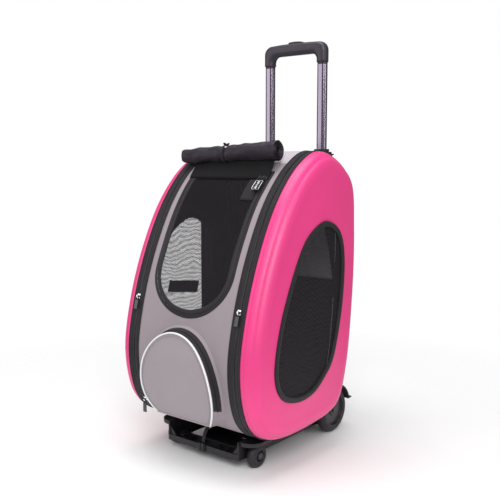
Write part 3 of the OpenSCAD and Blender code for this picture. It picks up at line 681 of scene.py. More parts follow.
def grip_bar():
    """Grip as one soft rounded bar that arches over both tubes."""
    y = middle("inner_tubes", 1)
    low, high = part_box("grip")
    outer_r, inner_r, leg, bar, arch = 20 * MM, 14 * MM, 24 * MM, 26 * MM, 1.6 * MM
    sides = 32
    inner_x, under_z = high.x - leg, high.z - bar
    outer, inner = [], []
    for t in (0, 0.05, 0.25, 0.6):
        outer.append((high.x, low.z + t * (high.z - outer_r - low.z)))
        inner.append((inner_x, low.z + t * (under_z - inner_r - low.z)))
    for a in np.linspace(0, math.pi / 2, 14):
        back, drop = 1 - math.cos(a), 1 - math.sin(a)
        outer.append((high.x - outer_r * back, high.z - outer_r * drop - arch * math.sin(a)))
        inner.append((inner_x - inner_r * back, under_z - inner_r * drop))
    for t in np.linspace(0, 1, 14)[1:]:
        outer.append(((high.x - outer_r) * (1 - t), high.z - arch * (1 - t) ** 2))
        inner.append(((inner_x - inner_r) * (1 - t), under_z))
    outer = np.array(outer + [(-x, z) for x, z in outer[-2::-1]])
    inner = np.array(inner + [(-x, z) for x, z in inner[-2::-1]])
    steps = np.arange(len(outer))
    ends = np.minimum(steps, steps[::-1])
    trim = np.interp(ends, [0, 1, 2], [0.92, 1.0, 1.0])
    deep = np.interp(ends, [0, 6, 24], [11.0, 11.4, 12.4]) * MM * trim
    turn = np.linspace(0, 2 * math.pi, sides, endpoint=False)
    lobe_a, lobe_b = (np.sign(wave) * np.abs(wave) ** 0.75 for wave in (np.cos(turn), np.sin(turn)))
    centre, reach = (outer + inner) / 2, (outer - inner) / 2 * trim[:, None]
    flat = centre[:, None] + reach[:, None] * lobe_a[None, :, None]
    rings = np.stack([flat[..., 0], y + deep[:, None] * lobe_b[None, :], flat[..., 1]], -1)
    obj = grid("grip_bar", rings, "handle_top", MATS["grip_plastic"], ring_cols=True)
    cap_ends(obj, len(outer), sides)
    fit(obj, "grip")


# The door's sliders stand this far round the bag, counted in knots.
DOOR_PULL_U = 1.5


def pull_frames():
    """Bright metal edge round each of the two pulls on the door."""
    ahead = around(BAG, DOOR_PULL_U + 0.05) - around(BAG, DOOR_PULL_U - 0.05)
    down = np.array([0, *ahead]) / np.linalg.norm(ahead)
    out = np.array([0, *around(BAG_OUT, DOOR_PULL_U)])
    reach, proud = 21 * MM, 1.1 * MM
    for place in ("upper", "lower"):
        name = f"door_pull_{place}"
        pin = on_bag(middle(name, 0), DOOR_PULL_U, 7.3 * MM)
        path = [
            pin + np.array([across, 0, 0]) + down * (reach + along) + out * proud
            for across, along in rounded_oblong(3.6 * MM, 11 * MM, 1.4 * MM, 6)
        ]
        obj = tube(f"{name}_frame", path, 0.6 * MM, f"{place}_door_pull", MATS["zip_metal"], sides=8, up=out)


# ---- Side shells ---------------------------------------------------------------

SHELL_STEPS = 12


def shell_rows():
    """Cross-sections of the right-hand shell, rim to window and back inside, per station."""
    bag = closed_curve(BAG_KNOTS, SHELL_STEPS)
    window = closed_curve(WINDOW_KNOTS, SHELL_STEPS)
    inward = -outward(bag)
    depth = FACE_X - RIM_X
    radius = SHELL_ROUND
    rows = []
    for degrees in np.linspace(0, 90, 19):
        a = math.radians(degrees)
        crease = -1.9 * MM * bell(degrees, 47, 6) + 0.9 * MM * bell(degrees, 63, 8)
        out = radius * math.sin(a) + crease * math.sin(a)
        inset = radius * (1 - math.cos(a)) - crease * math.cos(a)
        rows.append((np.full(len(bag), RIM_X + out), bag + inward * inset))
    shoulder = bag + inward * radius
    for t in (0.12, 0.3, 0.5, 0.7, 0.88, 1.0):
        out = radius + (depth - radius) * smooth(t) - 0.6 * MM * math.sin(math.pi * t)
        rows.append((np.full(len(bag), RIM_X + out), shoulder * (1 - t) + window * t))
    outer = len(rows)
    for x, yz in reversed(rows[1:]):
        rows.append((x - WALL * 0.98, pulled_in(yz, bag, window)))
    rows.append((np.full(len(bag), RIM_X), bag + inward * WALL))
    return np.stack([np.column_stack([x, yz]) for x, yz in rows], 1), outer


def pulled_in(yz, bag, window):
    """Moves a ring of the outer surface inward by the wall, but never past the window's edge."""
    inward = -outward(bag)
    gap = np.linalg.norm(window - yz, axis=1)
    return yz + inward * np.minimum(WALL, gap * 0.5)[:, None]


def side_shell(side, name, body, node):
    """Foam shell of one side, covered outside and lined inside."""
    points, outer = shell_rows()
    spread = rough(points, 9, 3.0 + side)
    points[:, 3:outer - 1, 0] += 0.5 * MM * spread[:, 3:outer - 1]
    if side > 0:
        dent = bell(points[..., 1], AXLE_Y - 0.262, 0.016) * bell(points[..., 2], 0.152, 0.012)
        points[:, 3:outer, 0] -= 1.5 * MM * dent[:, 3:outer]
    points[..., 0] *= side
    lining = np.zeros(points.shape[:2], int)
    lining[:, outer - 1:] = 1
    obj = grid(
        name, points, body, [MATS["pink_shell"], MATS["lining"]], ring_rows=True, ring_cols=True,
        flip=side < 0, cell_mats=lining,
    )
    fit(obj, node)


def side_seam(side, name, body):
    """Stitched seam just above a shell's rim."""
    def place(lift):
        a = math.radians(14)
        radius = SHELL_ROUND + lift
        yz = BAG - BAG_OUT * (SHELL_ROUND - radius * math.cos(a))
        x = side * (RIM_X + radius * math.sin(a))
        return np.column_stack([np.full(len(BAG), x), yz])
    stitch_line(name, place, body, "pink", 4.6 * MM)


def side_mesh(side, name, body, node):
    """Netting stretched over a side window, bowed in slightly."""
    window = closed_curve(WINDOW_KNOTS, SHELL_STEPS)
    centre = window.mean(0)
    rows = []
    for t in np.linspace(0, 1, 12):
        yz = window * (1 - t) + centre * t * 0.999 + window * t * 0.001
        bow = 2.5 * MM * smooth(t)
        x = np.full(len(window), side * (FACE_X - 1.5 * MM - bow))
        rows.append(np.column_stack([x, yz]))
    points = np.stack(rows, 0)
    net = MATS["slack_mesh" if side < 0 else "black_mesh"]
    obj = grid(name, points, body, net, ring_cols=True, flip=side > 0)
    flat_uvs(obj, 1, 2)
    fit(obj, node)
    size = points[0].max(0) - points[0].min(0)
    rim = f"bound_rim_{body.split('_')[0]}"
    declare(obj, size[1] + 4 * MM, size[2] + 4 * MM, "stretched", [rim])


def flat_uvs(obj, first, second):
    """UVs straight from two axes, for netting whose threads run level and upright."""
    layer = obj.data.uv_layers["UVMap"].data
    for loop, uv in zip(obj.data.loops, layer):
        co = obj.data.vertices[loop.vertex_index].co
        uv.uv = (co[first], co[second])


def side_rim(side, name, body, node):
    """Bound edge of a side window: a padded black ring."""
    turn = np.linspace(0, math.pi, 9)
    widths = list(0.5 * MM + 5.7 * MM * np.cos(turn)) + [-4.6 * MM, 5.6 * MM]
    heights = list(0.2 * MM + 3.0 * MM * np.sin(turn) ** 0.7) + [-1.2 * MM, -0.4 * MM]
    points = np.stack([window_ring(side, width, height) for width, height in zip(widths, heights)], 1)
    obj = grid(name, points, body, MATS["rim_plastic"], ring_rows=True, ring_cols=True, flip=side < 0)
    fit(obj, node)


def window_ring(side, width, height):
    """Line round a side window, width outside its edge and height proud of the shell."""
    window = closed_curve(WINDOW_KNOTS, SHELL_STEPS)
    x = np.full(len(window), side * (FACE_X + height))
    return np.column_stack([x, window + outward(window) * width])


def rim_stitches(side, name, body):
    """Stitches along the middle of a window's bound edge."""
    def place(lift):
        return window_ring(side, 3.4 * MM, 2.75 * MM + lift)
    stitch_line(name, place, body, "black")


def window_strip():
    """Broad tape sewn upright over the rear of the left window's netting."""
    window = closed_curve(WINDOW_KNOTS, SHELL_STEPS)
    rear = window[window[:, 0] > AXLE_Y - 0.112]
    rear = rear[np.argsort(rear[:, 1])]
    front = AXLE_Y - 0.104
    rows = []
    for z in np.linspace(216, 462, 40) * MM:
        edge = max(front + 0.5 * MM, np.interp(z, rear[:, 1], rear[:, 0]))
        y = np.linspace(front, edge, 8)
        rows.append(np.column_stack([np.full(len(y), -(FACE_X - 1.0 * MM)), y, np.full(len(y), z)]))
    obj = grid("window_strip_left", np.stack(rows, 0), "left_shell", MATS["black_canvas"])
    sew(obj, 0.8 * MM, (0.034, 0.25), "stretched", ["netting_left"], offset=0)


def window_patch():
    """Plain reinforcing patch sewn on the left window's netting."""
    corners = [(-206, 334), (-112, 322), (-119, 296), (-213, 309)]
    corner_points = np.array(corners, float) * MM + (AXLE_Y, 0)
    across = np.linspace(0, 1, 19)[:, None]
    rows = []
    for t in np.linspace(0, 1, 7):
        left = corner_points[0] * (1 - t) + corner_points[3] * t
        right = corner_points[1] * (1 - t) + corner_points[2] * t
        yz = left * (1 - across) + right * across
        rows.append(np.column_stack([np.full(len(yz), -(FACE_X - 0.9 * MM)), yz]))
    obj = grid("window_patch_left", np.stack(rows, 0), "left_shell", MATS["black_webbing"], flip=True)
    sew(obj, 0.8 * MM, (0.095, 0.026), "stretched", ["netting_left"], offset=0)


# ---- Zip bands -----------------------------------------------------------------


def zip_band(side, name, node):
    """Black tape right round the bag, folded up a little on both sides of its zip."""
    xs = np.array([0, 1.5, 4, 7, 9.5, 11, 12.5, 15.5, 17, 18.5, 21, 24, 26.6, 28]) / 28
    lifts = np.array([0.2, 0.9, 1.1, 1.0, 0.9, 0.2, -0.5, -0.5, 0.2, 1.0, 1.3, 1.2, 0.9, 0.0]) * MM
    x = PANEL_X + 0.3 * MM + xs * (BAND_X - PANEL_X)
    u = np.arange(KNOTS * 14) / 14
    uu, xx = np.meshgrid(u, x, indexing="ij")
    wave = rough(on_bag(xx * side, uu, lifts[None, :]), 22, 5.0 + side) * 0.35 * MM
    points = on_bag(xx * side, uu, lifts[None, :] + wave)
    obj = grid(name, points, "carrier", MATS["band_tape"], ring_rows=True, flip=side > 0)
    ring = arc_lengths(np.vstack([points[:, 0], points[:1, 0]]))[-1]
    sew(obj, WALL * 0.8, (0.032, ring), "stretched", node=node)


def band_line(x, lift=0.0):
    """Closed line right round the bag at one x."""
    u = np.arange(KNOTS * 16) / 16
    return on_bag(np.full(len(u), x), u, lift)


def band_trim(side, hand):
    """Zip teeth, seams and pipings of one zip band."""
    zip_x = side * (PANEL_X + 14 * MM)
    zip_chain(f"band_teeth_{hand}", lambda lift: band_line(zip_x, lift - 0.2 * MM))
    for name, x, lift, radius in (
        ("panel_piping", PANEL_X + 0.9 * MM, 0.7 * MM, 1.2 * MM),
        ("rim_piping", BAND_X - 1.4 * MM, 0.9 * MM, 1.3 * MM),
    ):
        cord = tube(f"{name}_{hand}", band_line(side * x, lift), radius, "carrier", MATS["black_webbing"])
    for label, offset in (("inner", 4.5), ("outer", 22.5)):
        seam_x = side * (PANEL_X + offset * MM)
        stitch_line(
            f"band_stitch_{label}_{hand}", lambda lift: band_line(seam_x, lift + 1.2 * MM), "carrier",
            "black", 4.4 * MM,
        )


# ---- Panels of the bag ----------------------------------------------------------


def inside_door(x, z, inset):
    """True where a point lies within the door opening, shrunk by inset."""
    half, drop = DOOR_HALF - inset, DOOR_MID - DOOR_LOW - inset
    width = np.interp(z, [DOOR_SHOULDER, DOOR_TOP], [half, half + DOOR_FLARE])
    round_part = (x / half) ** 2 + ((z - DOOR_MID) / drop) ** 2 < 1
    return np.where(z < DOOR_MID, round_part, (np.abs(x) < width) & (z < DOOR_TOP - inset))


def panel(name, u0, u1, node, mat, bulge=1.2 * MM, cut=None, seed=1.0):
    """Cloth panel between the zip bands: drawn flat at its seams, slightly full between them."""
    x = np.linspace(-PANEL_X + 0.2 * MM, PANEL_X - 0.2 * MM, 49)
    u = np.linspace(u0, u1, int((u1 - u0) * 15) + 1)
    uu, xx = np.meshgrid(u, x, indexing="ij")
    base = on_bag(xx, uu)
    edge = np.minimum(1, (PANEL_X - np.abs(xx)) / (26 * MM))
    full = smooth(edge) * bulge
    creases = rough(base, 14, seed) * 0.5 * MM + rough(base, 34, seed + 9) * 0.2 * MM
    points = on_bag(xx, uu, full * 0.5 + creases * smooth(edge * 2))
    keep = None
    if cut is not None:
        mid_x = (xx[:-1, :-1] + xx[1:, 1:]) / 2
        mid_z = (base[:-1, :-1, 2] + base[1:, 1:, 2]) / 2
        keep = ~cut(mid_x, mid_z)
    obj = grid(name, points, "carrier", mat, keep=keep, flip=True)
    run = arc_lengths(points[:, len(x) // 2])[-1]
    sew(obj, WALL * 0.8, (2 * PANEL_X + 6 * MM, run + 4 * MM), "stretched", node=node)


def front_cut(x, z):
    """True where the front panel is cut away for the door."""
    return inside_door(x, z, 3.5 * MM) & (z > DOOR_LOW)


def back_lining():
    """Lighter lining on the upper inside of the back, with a straight hem below."""
    rows = []
    for z in np.linspace(341, 500, 24) * MM:
        half = np.interp(z, [0.341, 0.445, 0.5], [0.1165, 0.096, 0.085])
        x = np.linspace(-half, half, 25)
        u = np.interp(z, around(BAG, np.linspace(10, 13, 200))[:, 1], np.linspace(10, 13, 200))
        rows.append(on_bag(x, np.full(len(x), u), -WALL - 0.9 * MM))
    points = np.stack(rows, 0)
    obj = grid("back_lining", points, "carrier", MATS["grey_lining"])
    sew(obj, 0.6 * MM, (0.235, 0.162), "stretched", ["back_cloth"], offset=0)


# ---- Front door -----------------------------------------------------------------


def door_line(inset):
    """Closed outline of the door opening in (x, z), shrunk by inset, from its left shoulder."""
    half, drop = DOOR_HALF - inset, DOOR_MID - DOOR_LOW - inset
    top = DOOR_TOP - inset
    foot = np.linspace(0, math.pi, 61)
    x = list(-half * np.cos(foot))
    z = list(DOOR_MID - drop * np.sin(foot))
    for t in np.linspace(0, 1, 16)[1:]:
        height = DOOR_MID + (top - 5 * MM - DOOR_MID) * t
        x.append(half + DOOR_FLARE * max(0, (height - DOOR_SHOULDER) / (DOOR_TOP - DOOR_SHOULDER)))
        z.append(height)
    corner = x[-1]
    for a in np.linspace(0, math.pi / 2, 6)[1:]:
        x.append(corner - 5 * MM * (1 - math.cos(a)))
        z.append(top - 5 * MM * (1 - math.sin(a)))
    across = np.linspace(corner - 5 * MM, -corner + 5 * MM, 31)[1:]
    x += list(across)
    z += [top] * len(across)
    for a in np.linspace(math.pi / 2, 0, 6)[1:]:
        x.append(-corner + 5 * MM * (1 - math.cos(a)))
        z.append(top - 5 * MM * (1 - math.sin(a)))
    side = [(x[60 + k], z[60 + k]) for k in range(15, 0, -1)]
    x += [-p[0] for p in side[1:]]
    z += [p[1] for p in side[1:]]
    return np.array(x), np.array(z)


def door_ring(name, insets, lifts, body, node, thick, flat, rests_on):
    """Flat tape round the door, folded over at its edges."""
    rows = []
    for inset, lift in zip(insets, lifts):
        x, z = door_line(inset * MM)
        rows.append(on_front(x, z, lift * MM))
    points = np.stack(rows, 0)
    points = points + rough(points, 26, 2.0)[..., None] * np.array([0, -0.35, 0.1]) * MM
    obj = grid(name, points, body, MATS["black_webbing"], ring_cols=True)
    sew(obj, thick, flat, "stretched", [rests_on], node)


def door_cloth():
    """Netting of the door, slightly slack."""
    rows = []
    for t in np.linspace(0, 0.999, 16):
        x, z = door_line(14.8 * MM)
        centre = 0.44
        x, z = x * (1 - t), z * (1 - t) + centre * t
        slack = -1.5 * MM * smooth(t * 1.5)
        rows.append(on_front(x, z, 0.3 * MM + slack))
    points = np.stack(rows, 0)
    points[3:-2] += (rough(points[3:-2], 12, 7.0) * 1.2 * MM)[..., None] * np.array([0, -1, 0.4])
    obj = grid("door_netting", points, "front_door", MATS["door_mesh"], ring_cols=True)
    door_uvs(obj)
    fit(obj, "door_mesh")
    declare(obj, 0.19, 0.285, "stretched", ["door_binding_tape"])


def door_uvs(obj):
    """UVs across the door and along its slope."""
    layer = obj.data.uv_layers["UVMap"].data
    u = np.linspace(0.5, 7, 400)
    curve = around(BAG, u)
    run = np.concatenate([[0], np.cumsum(np.linalg.norm(np.diff(curve, axis=0), axis=1))])
    for loop, uv in zip(obj.data.loops, layer):
        co = obj.data.vertices[loop.vertex_index].co
        uv.uv = (co[0], float(np.interp(-co[2], -curve[:, 1], run)))


def door_pieces():
    """Tapes, zip, stitches and corner patch of the door."""
    door_ring(
        "door_border_tape", [-0.6, 0.3, 1.3, 3.2, 5.0, 5.9, 6.3], [0.3, 1.2, 1.6, 1.7, 1.7, 1.5, 0.9],
        "carrier", "window_border", 2.6 * MM, (1.0, 0.0105), "front_cloth",
    )
    door_ring(
        "door_binding_tape", [7.1, 8.0, 9.8, 12.6, 15.0, 15.9], [0.9, 1.5, 1.8, 1.8, 1.4, 0.7],
        "front_door", "door_binding", 2.2 * MM, (0.95, 0.0125), "door_border_tape",
    )
    for name, inset, lift, body in (
        ("border_stitch", 1.9, 1.7, "carrier"), ("binding_stitch", 13.8, 1.7, "front_door"),
    ):
        def place(more, inset=inset, lift=lift):
            x, z = door_line(inset * MM)
            return on_front(x, z, lift * MM + more)
        stitch_line(name, place, body, "black")

    def chain(more):
        x, z = door_line(6.7 * MM)
        return on_front(x, z, 1.3 * MM + more)
    zip_chain("door_teeth", chain, 3.8 * MM, 2.0 * MM)
    patch_x = np.linspace(0.058, 0.088, 13)
    patch_z = np.linspace(0.558, 0.520, 9)
    zz, xx = np.meshgrid(patch_z, patch_x, indexing="ij")
    patch = grid("door_corner_patch", on_front(xx, zz, 1.2 * MM), "front_door", MATS["black_canvas"])
    sew(patch, 0.8 * MM, (0.031, 0.055), "stretched", ["door_netting"])


# ---- Pocket ----------------------------------------------------------------------


def pocket_line(inset, arch_only=False, start=0.0, stop=1.0):
    """Oval of the pocket in (x, z), shrunk by inset, from its right foot to its left; then its base."""
    lower = POCKET_FOOT_DROP - inset
    upper = POCKET_TOP - POCKET_WAIST - inset
    foot = math.asin(max(-0.999, (POCKET_LOW + inset - POCKET_WAIST) / lower))
    turn = foot + (math.pi - 2 * foot) * np.linspace(start, stop, 85)
    x = (POCKET_HALF - inset) * np.cos(turn)
    z = POCKET_WAIST + np.where(turn % (2 * math.pi) < math.pi, upper, lower) * np.sin(turn)
    if arch_only:
        return x, z
    base = np.linspace(x[-1], x[0], 28)[1:-1]
    return np.concatenate([x, base]), np.concatenate([z, np.full(len(base), POCKET_LOW + inset)])


def pocket_rows(insets, lifts, arch_only=False, start=0.0, stop=1.0):
    """Rings of the pocket's oval, each shrunk and raised by so many millimetres."""
    rows = []
    for inset, lift in zip(insets, lifts):
        x, z = pocket_line(inset * MM, arch_only, start, stop)
        rows.append(on_front(x, z, lift * MM))
    return np.stack(rows, 0)


def pocket():
    """Front pocket: gusset with its zip tape, crowned face and reflective piping."""
    wall = grid(
        "pocket_gusset",
        pocket_rows([-12, -9, -6, -3.6, -1.8, -0.4, 0.6], [0.4, 1.6, 4.8, 9, 14, 18, 19.8]),
        "carrier", MATS["grey_canvas"], ring_cols=True,
    )
    sew(wall, 2 * MM, (0.56, 0.05), "gathered", ["front_cloth"], "pocket_wall")
    spread = (0.1, 0.93)
    tape = grid(
        "pocket_zip_tape",
        pocket_rows([-7.2, -5.6, -4.2, -2.9, -1.9, -1.0], [4.4, 7, 10, 13, 16, 18.6], True, *spread),
        "carrier", MATS["band_tape"],
    )
    sew(tape, 0.9 * MM, (0.44, 0.017), "stretched", ["pocket_gusset"])

    def chain(more):
        x, z = pocket_line(-(3.9 * MM + more), True, *spread)
        return on_front(x, z, 11.5 * MM)
    zip_chain("pocket_teeth", chain, 4.2 * MM, 2.0 * MM, closed=False)

    rows = []
    for t in np.linspace(0, 1, 22):
        x, z = pocket_line(1.2 * MM)
        mid_z = POCKET_LOW + 0.42 * (POCKET_TOP - POCKET_LOW)
        x, z = x * (1 - t), z * (1 - t) + mid_z * t
        crown = 22.2 + 2.6 * smooth(min(1, t * 2.2))
        rows.append(on_front(x, z, crown * MM))
    points = np.stack(rows, 0)
    soft = smooth(np.linspace(0, 1, len(points)) * 3)[:, None]
    points[..., 1] -= (rough(points, 13, 4.0) * 0.9 * MM + rough(points, 30, 8.0) * 0.3 * MM) * soft
    face = grid("pocket_cloth", points, "pocket_front", MATS["pocket_canvas"], ring_cols=True)
    flat_uvs(face, 0, 2)
    sew(face, 1.8 * MM, (0.19, 0.19), "stretched", ["pocket_gusset"], "pocket_face")

    x, z = pocket_line(-0.2 * MM, True)
    arch = tube(
        "pocket_arch_piping", on_front(x, z, 22.4 * MM), 1.8 * MM, "pocket_front", MATS["white_piping"],
        closed=False, up=(0, 1.0, 0.2),
    )
    fit(arch, "pocket_piping")
    foot = tube(
        "pocket_foot_piping", on_front(np.linspace(x[-1], x[0], 40), POCKET_LOW, 22.2 * MM), 1.6 * MM,
        "pocket_front", MATS["grey_piping"], closed=False, up=(0, 0, 1.0),
    )

    def seam(more):
        a, b = pocket_line(5.5 * MM, True)
        return on_front(a, b, 23.0 * MM + more)
    stitch_line("pocket_stitch", seam, "pocket_front", "grey", closed=False)


# ---- Rolled cover ------------------------------------------------------------------

ROLL_SLOPE = math.tan(math.radians(2.6))
ROLL_R = 19 * MM
ROLL_SHORT = 0.94


def roll_frame():
    """Middle, half length, axis (y, z) and radius of the roll, from its CAD solid."""
    low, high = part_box("rolled_cover")
    half = (high.x - low.x) / 2
    radius = 17 * MM
    rise = half * ROLL_SLOPE
    return (low.x + high.x) / 2, half * ROLL_SHORT, low.y + radius, high.z - radius - rise, ROLL_R


def rolled_cover():
    """Cover rolled into four turns, creased and drawn in by its tie."""
    mid_x, half, y, z, radius = roll_frame()
    tie_x = middle("roll_tie", 0)
    turns = 4.3
    theta = np.linspace(0, turns * 2 * math.pi, int(turns * 30))
    x = np.linspace(mid_x - half, mid_x + half, 74)
    tt, xx = np.meshgrid(theta, x, indexing="ij")
    part = tt / theta[-1]
    r = 4.5 * MM + (radius - 5.6 * MM) * part
    flare = 0.12 * smooth((xx - mid_x) / half) - 0.1 * smooth((mid_x - xx) / half)
    pinch = 1 - 0.24 * bell(xx, tie_x, 8 * MM) + flare
    sample = np.stack([xx * 0.6, np.cos(tt) * 0.02, np.sin(tt) * 0.02], -1)
    creases = rough(sample, 48, 1.0) * 3.0 * MM + rough(sample, 110, 6.0) * 1.2 * MM
    fold = 0.9 * MM * np.sin((xx - tie_x) / (5.5 * MM)) * bell(xx, tie_x, 24 * MM) * np.cos(tt * 2 + 1)
    r = r * pinch + (creases + fold) * smooth(part * 1.6)
    angle = -tt + math.radians(28)
    yy = y + r * np.cos(angle)
    zz = z + (xx - mid_x) * ROLL_SLOPE + r * np.sin(angle)
    points = np.stack([xx, yy, zz], -1)
    obj = grid("cover_roll", points, "carrier", MATS["cover_fabric"])
    run = arc_lengths(points[:, 20])[-1]
    sew(obj, 0.7 * MM, (2 * half, run), "folded", ["front_cloth"], "rolled_cover", 0)


def roll_flap():
    """Strip of the cover that is sewn above the door and goes up into the roll."""
    mid_x, _, y, z, radius = roll_frame()
    x = np.linspace(-DOOR_HALF - 2 * MM, DOOR_HALF - 1 * MM, 58)
    rows = []
    for t in np.linspace(0, 1, 9):
        foot = on_front(x, np.full(len(x), 0.5605), 3.0 * MM)
        head = np.stack([x, np.full(len(x), y + 4 * MM), z + (x - mid_x) * ROLL_SLOPE - radius * 0.5], 1)
        row = foot * (1 - t) + head * t
        row[:, 1] += 0.8 * MM * np.sin(x * 130 + 1) * math.sin(math.pi * t)
        rows.append(row)
    # The flap's colour is painted shade, darker than its cloth so that it reads as dark as the netting below
    # the roll.
    obj = grid("cover_flap", np.stack(rows, 0), "carrier", MATS["flap_cloth"])
    length = arc_lengths(np.stack([row[29] for row in rows]))[-1]
    sew(obj, 0.8 * MM, (x[-1] - x[0], length), "hung", ["front_cloth"], offset=0)


def roll_tie():
    """Elastic tie round the roll's waist, knotted in a small loop on top."""
    mid_x, _, y, z, radius = roll_frame()
    tie_x = middle("roll_tie", 0)
    level = z + (tie_x - mid_x) * ROLL_SLOPE
    waist = radius * 0.86
    angle = np.linspace(0, 2 * math.pi, 48, endpoint=False)
    rows = []
    for offset, lift in ((-4, 0.2), (-3.4, 1.1), (0, 1.5), (3.4, 1.1), (4, 0.2), (0, -0.6)):
        r = waist + lift * MM + 0.4 * MM * np.sin(angle * 3)
        rows.append(np.column_stack([
            np.full(len(angle), tie_x + offset * MM), y + r * np.cos(angle), level + r * np.sin(angle),
        ]))
    points = np.stack(rows, 0)
    band = grid("tie_band", points, "carrier", MATS["black_webbing"], ring_rows=True, ring_cols=True)
    fit(band, "roll_tie")
    turn = np.linspace(0, 2 * math.pi, 40, endpoint=False)
    top = level + waist - 1.6 * MM
    for name, lean, size in (("tie_loop_front", -0.6, 5.2), ("tie_loop_back", 0.7, 4.4)):
        loop = np.column_stack([
            tie_x + 2.4 * MM * np.sin(turn) + lean * 2 * MM * (1 - np.cos(turn)),
            y + lean * 3 * MM * (1 - np.cos(turn)),
            top + size * 0.5 * MM * (1 - np.cos(turn)) + 1.2 * MM,
        ])
        obj = tube(name, loop, 1.4 * MM, "carrier", MATS["black_webbing"], up=(0.1, 1, 0.3))


# ---- Back, floor and strap -----------------------------------------------------------


def back_sleeve():
    """Cloth band that holds the bag to the fixed tubes."""
    low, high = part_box("back_sleeve")
    half, back, corner = high.x - 1 * MM, high.y - 1 * MM, 9 * MM
    rows = []
    for height in np.linspace(low.z + 1 * MM, high.z - 1 * MM, 30):
        start = np.interp(height, BAG_BACK[:, 1], BAG_BACK[:, 0]) + 0.8 * MM
        left = [(-half, y) for y in np.linspace(start, back - corner, 6)]
        for a in np.linspace(0, math.pi / 2, 8)[1:]:
            left.append((-half + corner * (1 - math.cos(a)), back - corner * (1 - math.sin(a))))
        flat = [(x, back) for x in np.linspace(-half + corner, half - corner, 40)[1:-1]]
        path = np.array(left + flat + [(-x, y) for x, y in left[::-1]])
        rows.append(np.column_stack([path, np.full(len(path), height)]))
    points = np.stack(rows, 0)
    dip = 1 - bell(np.abs(points[..., 0]), 0.07, 0.018)
    points[..., 1] -= (0.9 * MM * dip * (points[..., 1] > back - 1 * MM)) * bell(points[..., 0], 0, 0.06)
    obj = grid("sleeve_cloth", points, "carrier", MATS["black_canvas"])
    flat = (arc_lengths(points[10])[-1], high.z - low.z)
    sew(obj, 1.8 * MM, flat, "stretched", ["outer_tubes"], "back_sleeve", 0)
    for label, height in (("low", low.z + 6 * MM), ("high", high.z - 6 * MM)):
        def place(lift, height=height):
            x = np.linspace(-half + 12 * MM, half - 12 * MM, 60)
            return np.column_stack([x, np.full(60, back + 0.9 * MM + lift), np.full(60, height)])
        stitch_line(f"sleeve_stitch_{label}", place, "carrier", "black", closed=False)


def floor_board():
    """Stiff covered board under the bag, with rounded edges."""
    half_x, half_y, corner = 96 * MM, 77 * MM, 10 * MM
    centre_y, under = AXLE_Y - 173 * MM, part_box("bottom_panel")[0].z
    rows = []
    for shrink, z in ((1.6, 0), (0.3, 0.6), (0, 1.6), (0, 2.4), (0.8, 3.8)):
        less = shrink * MM
        ring = rounded_oblong(half_x - less, half_y - less, corner - less, 8)
        rows.append([(x, centre_y + y, under + z * MM) for x, y in ring])
    points = np.array(rows)
    obj = grid("floor_board", points, "carrier", MATS["black_canvas"], ring_cols=True, flip=True)
    cap_ends(obj, len(rows), points.shape[1])


def pet_cushion():
    """Padded mat on the floor, blown up by a short cloth simulation and then quilted."""
    low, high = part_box("floor_cushion")
    x = np.linspace(low.x + 5 * MM, high.x - 5 * MM, 30)
    y = np.linspace(AXLE_Y - 0.272, AXLE_Y - 0.092, 26)
    yy, xx = np.meshgrid(y, x, indexing="ij")
    floor = np.interp(yy, BAG_FLOOR[:, 0], BAG_FLOOR[:, 1]) + WALL + 1.2 * MM
    top = np.maximum(high.z - 4 * MM, floor + 5 * MM)
    verts = np.concatenate([np.stack([xx, yy, level], -1).reshape(-1, 3) for level in (floor, top)])
    rows, cols = xx.shape
    count = rows * cols
    faces = []
    for i in range(rows - 1):
        for j in range(cols - 1):
            a, b, c, d = i * cols + j, i * cols + j + 1, (i + 1) * cols + j + 1, (i + 1) * cols + j
            faces.append((d, c, b, a))
            faces.append((a + count, b + count, c + count, d + count))
    rim = list(range(cols)) + [i * cols + cols - 1 for i in range(1, rows)]
    rim += [(rows - 1) * cols + j for j in range(cols - 2, -1, -1)]
    rim += [i * cols for i in range(rows - 2, 0, -1)]
    for a, b in zip(rim, rim[1:] + rim[:1]):
        faces.append((a, b, b + count, a + count))
    obj = new_mesh("pet_cushion", verts, faces, "carrier", MATS["cushion_fabric"])
    inflate(obj, 5 * MM, 5 * MM)
    ceiling, bottom = high.z - 0.3 * MM, WALL + 0.4 * MM
    for v in obj.data.vertices:
        base = np.interp(v.co.y, BAG_FLOOR[:, 0], BAG_FLOOR[:, 1])
        quilt = bell(v.co.x % 0.056, 0.028, 3 * MM) + bell((v.co.y + 0.01) % 0.06, 0.03, 3 * MM)
        if v.co.z > base + 9 * MM:
            v.co.z -= 1.6 * MM * quilt
        v.co.z = min(max(v.co.z, base + bottom), ceiling)
        v.co.x = min(max(v.co.x, low.x + 0.4 * MM), high.x - 0.4 * MM)
    fit(obj, "floor_cushion")


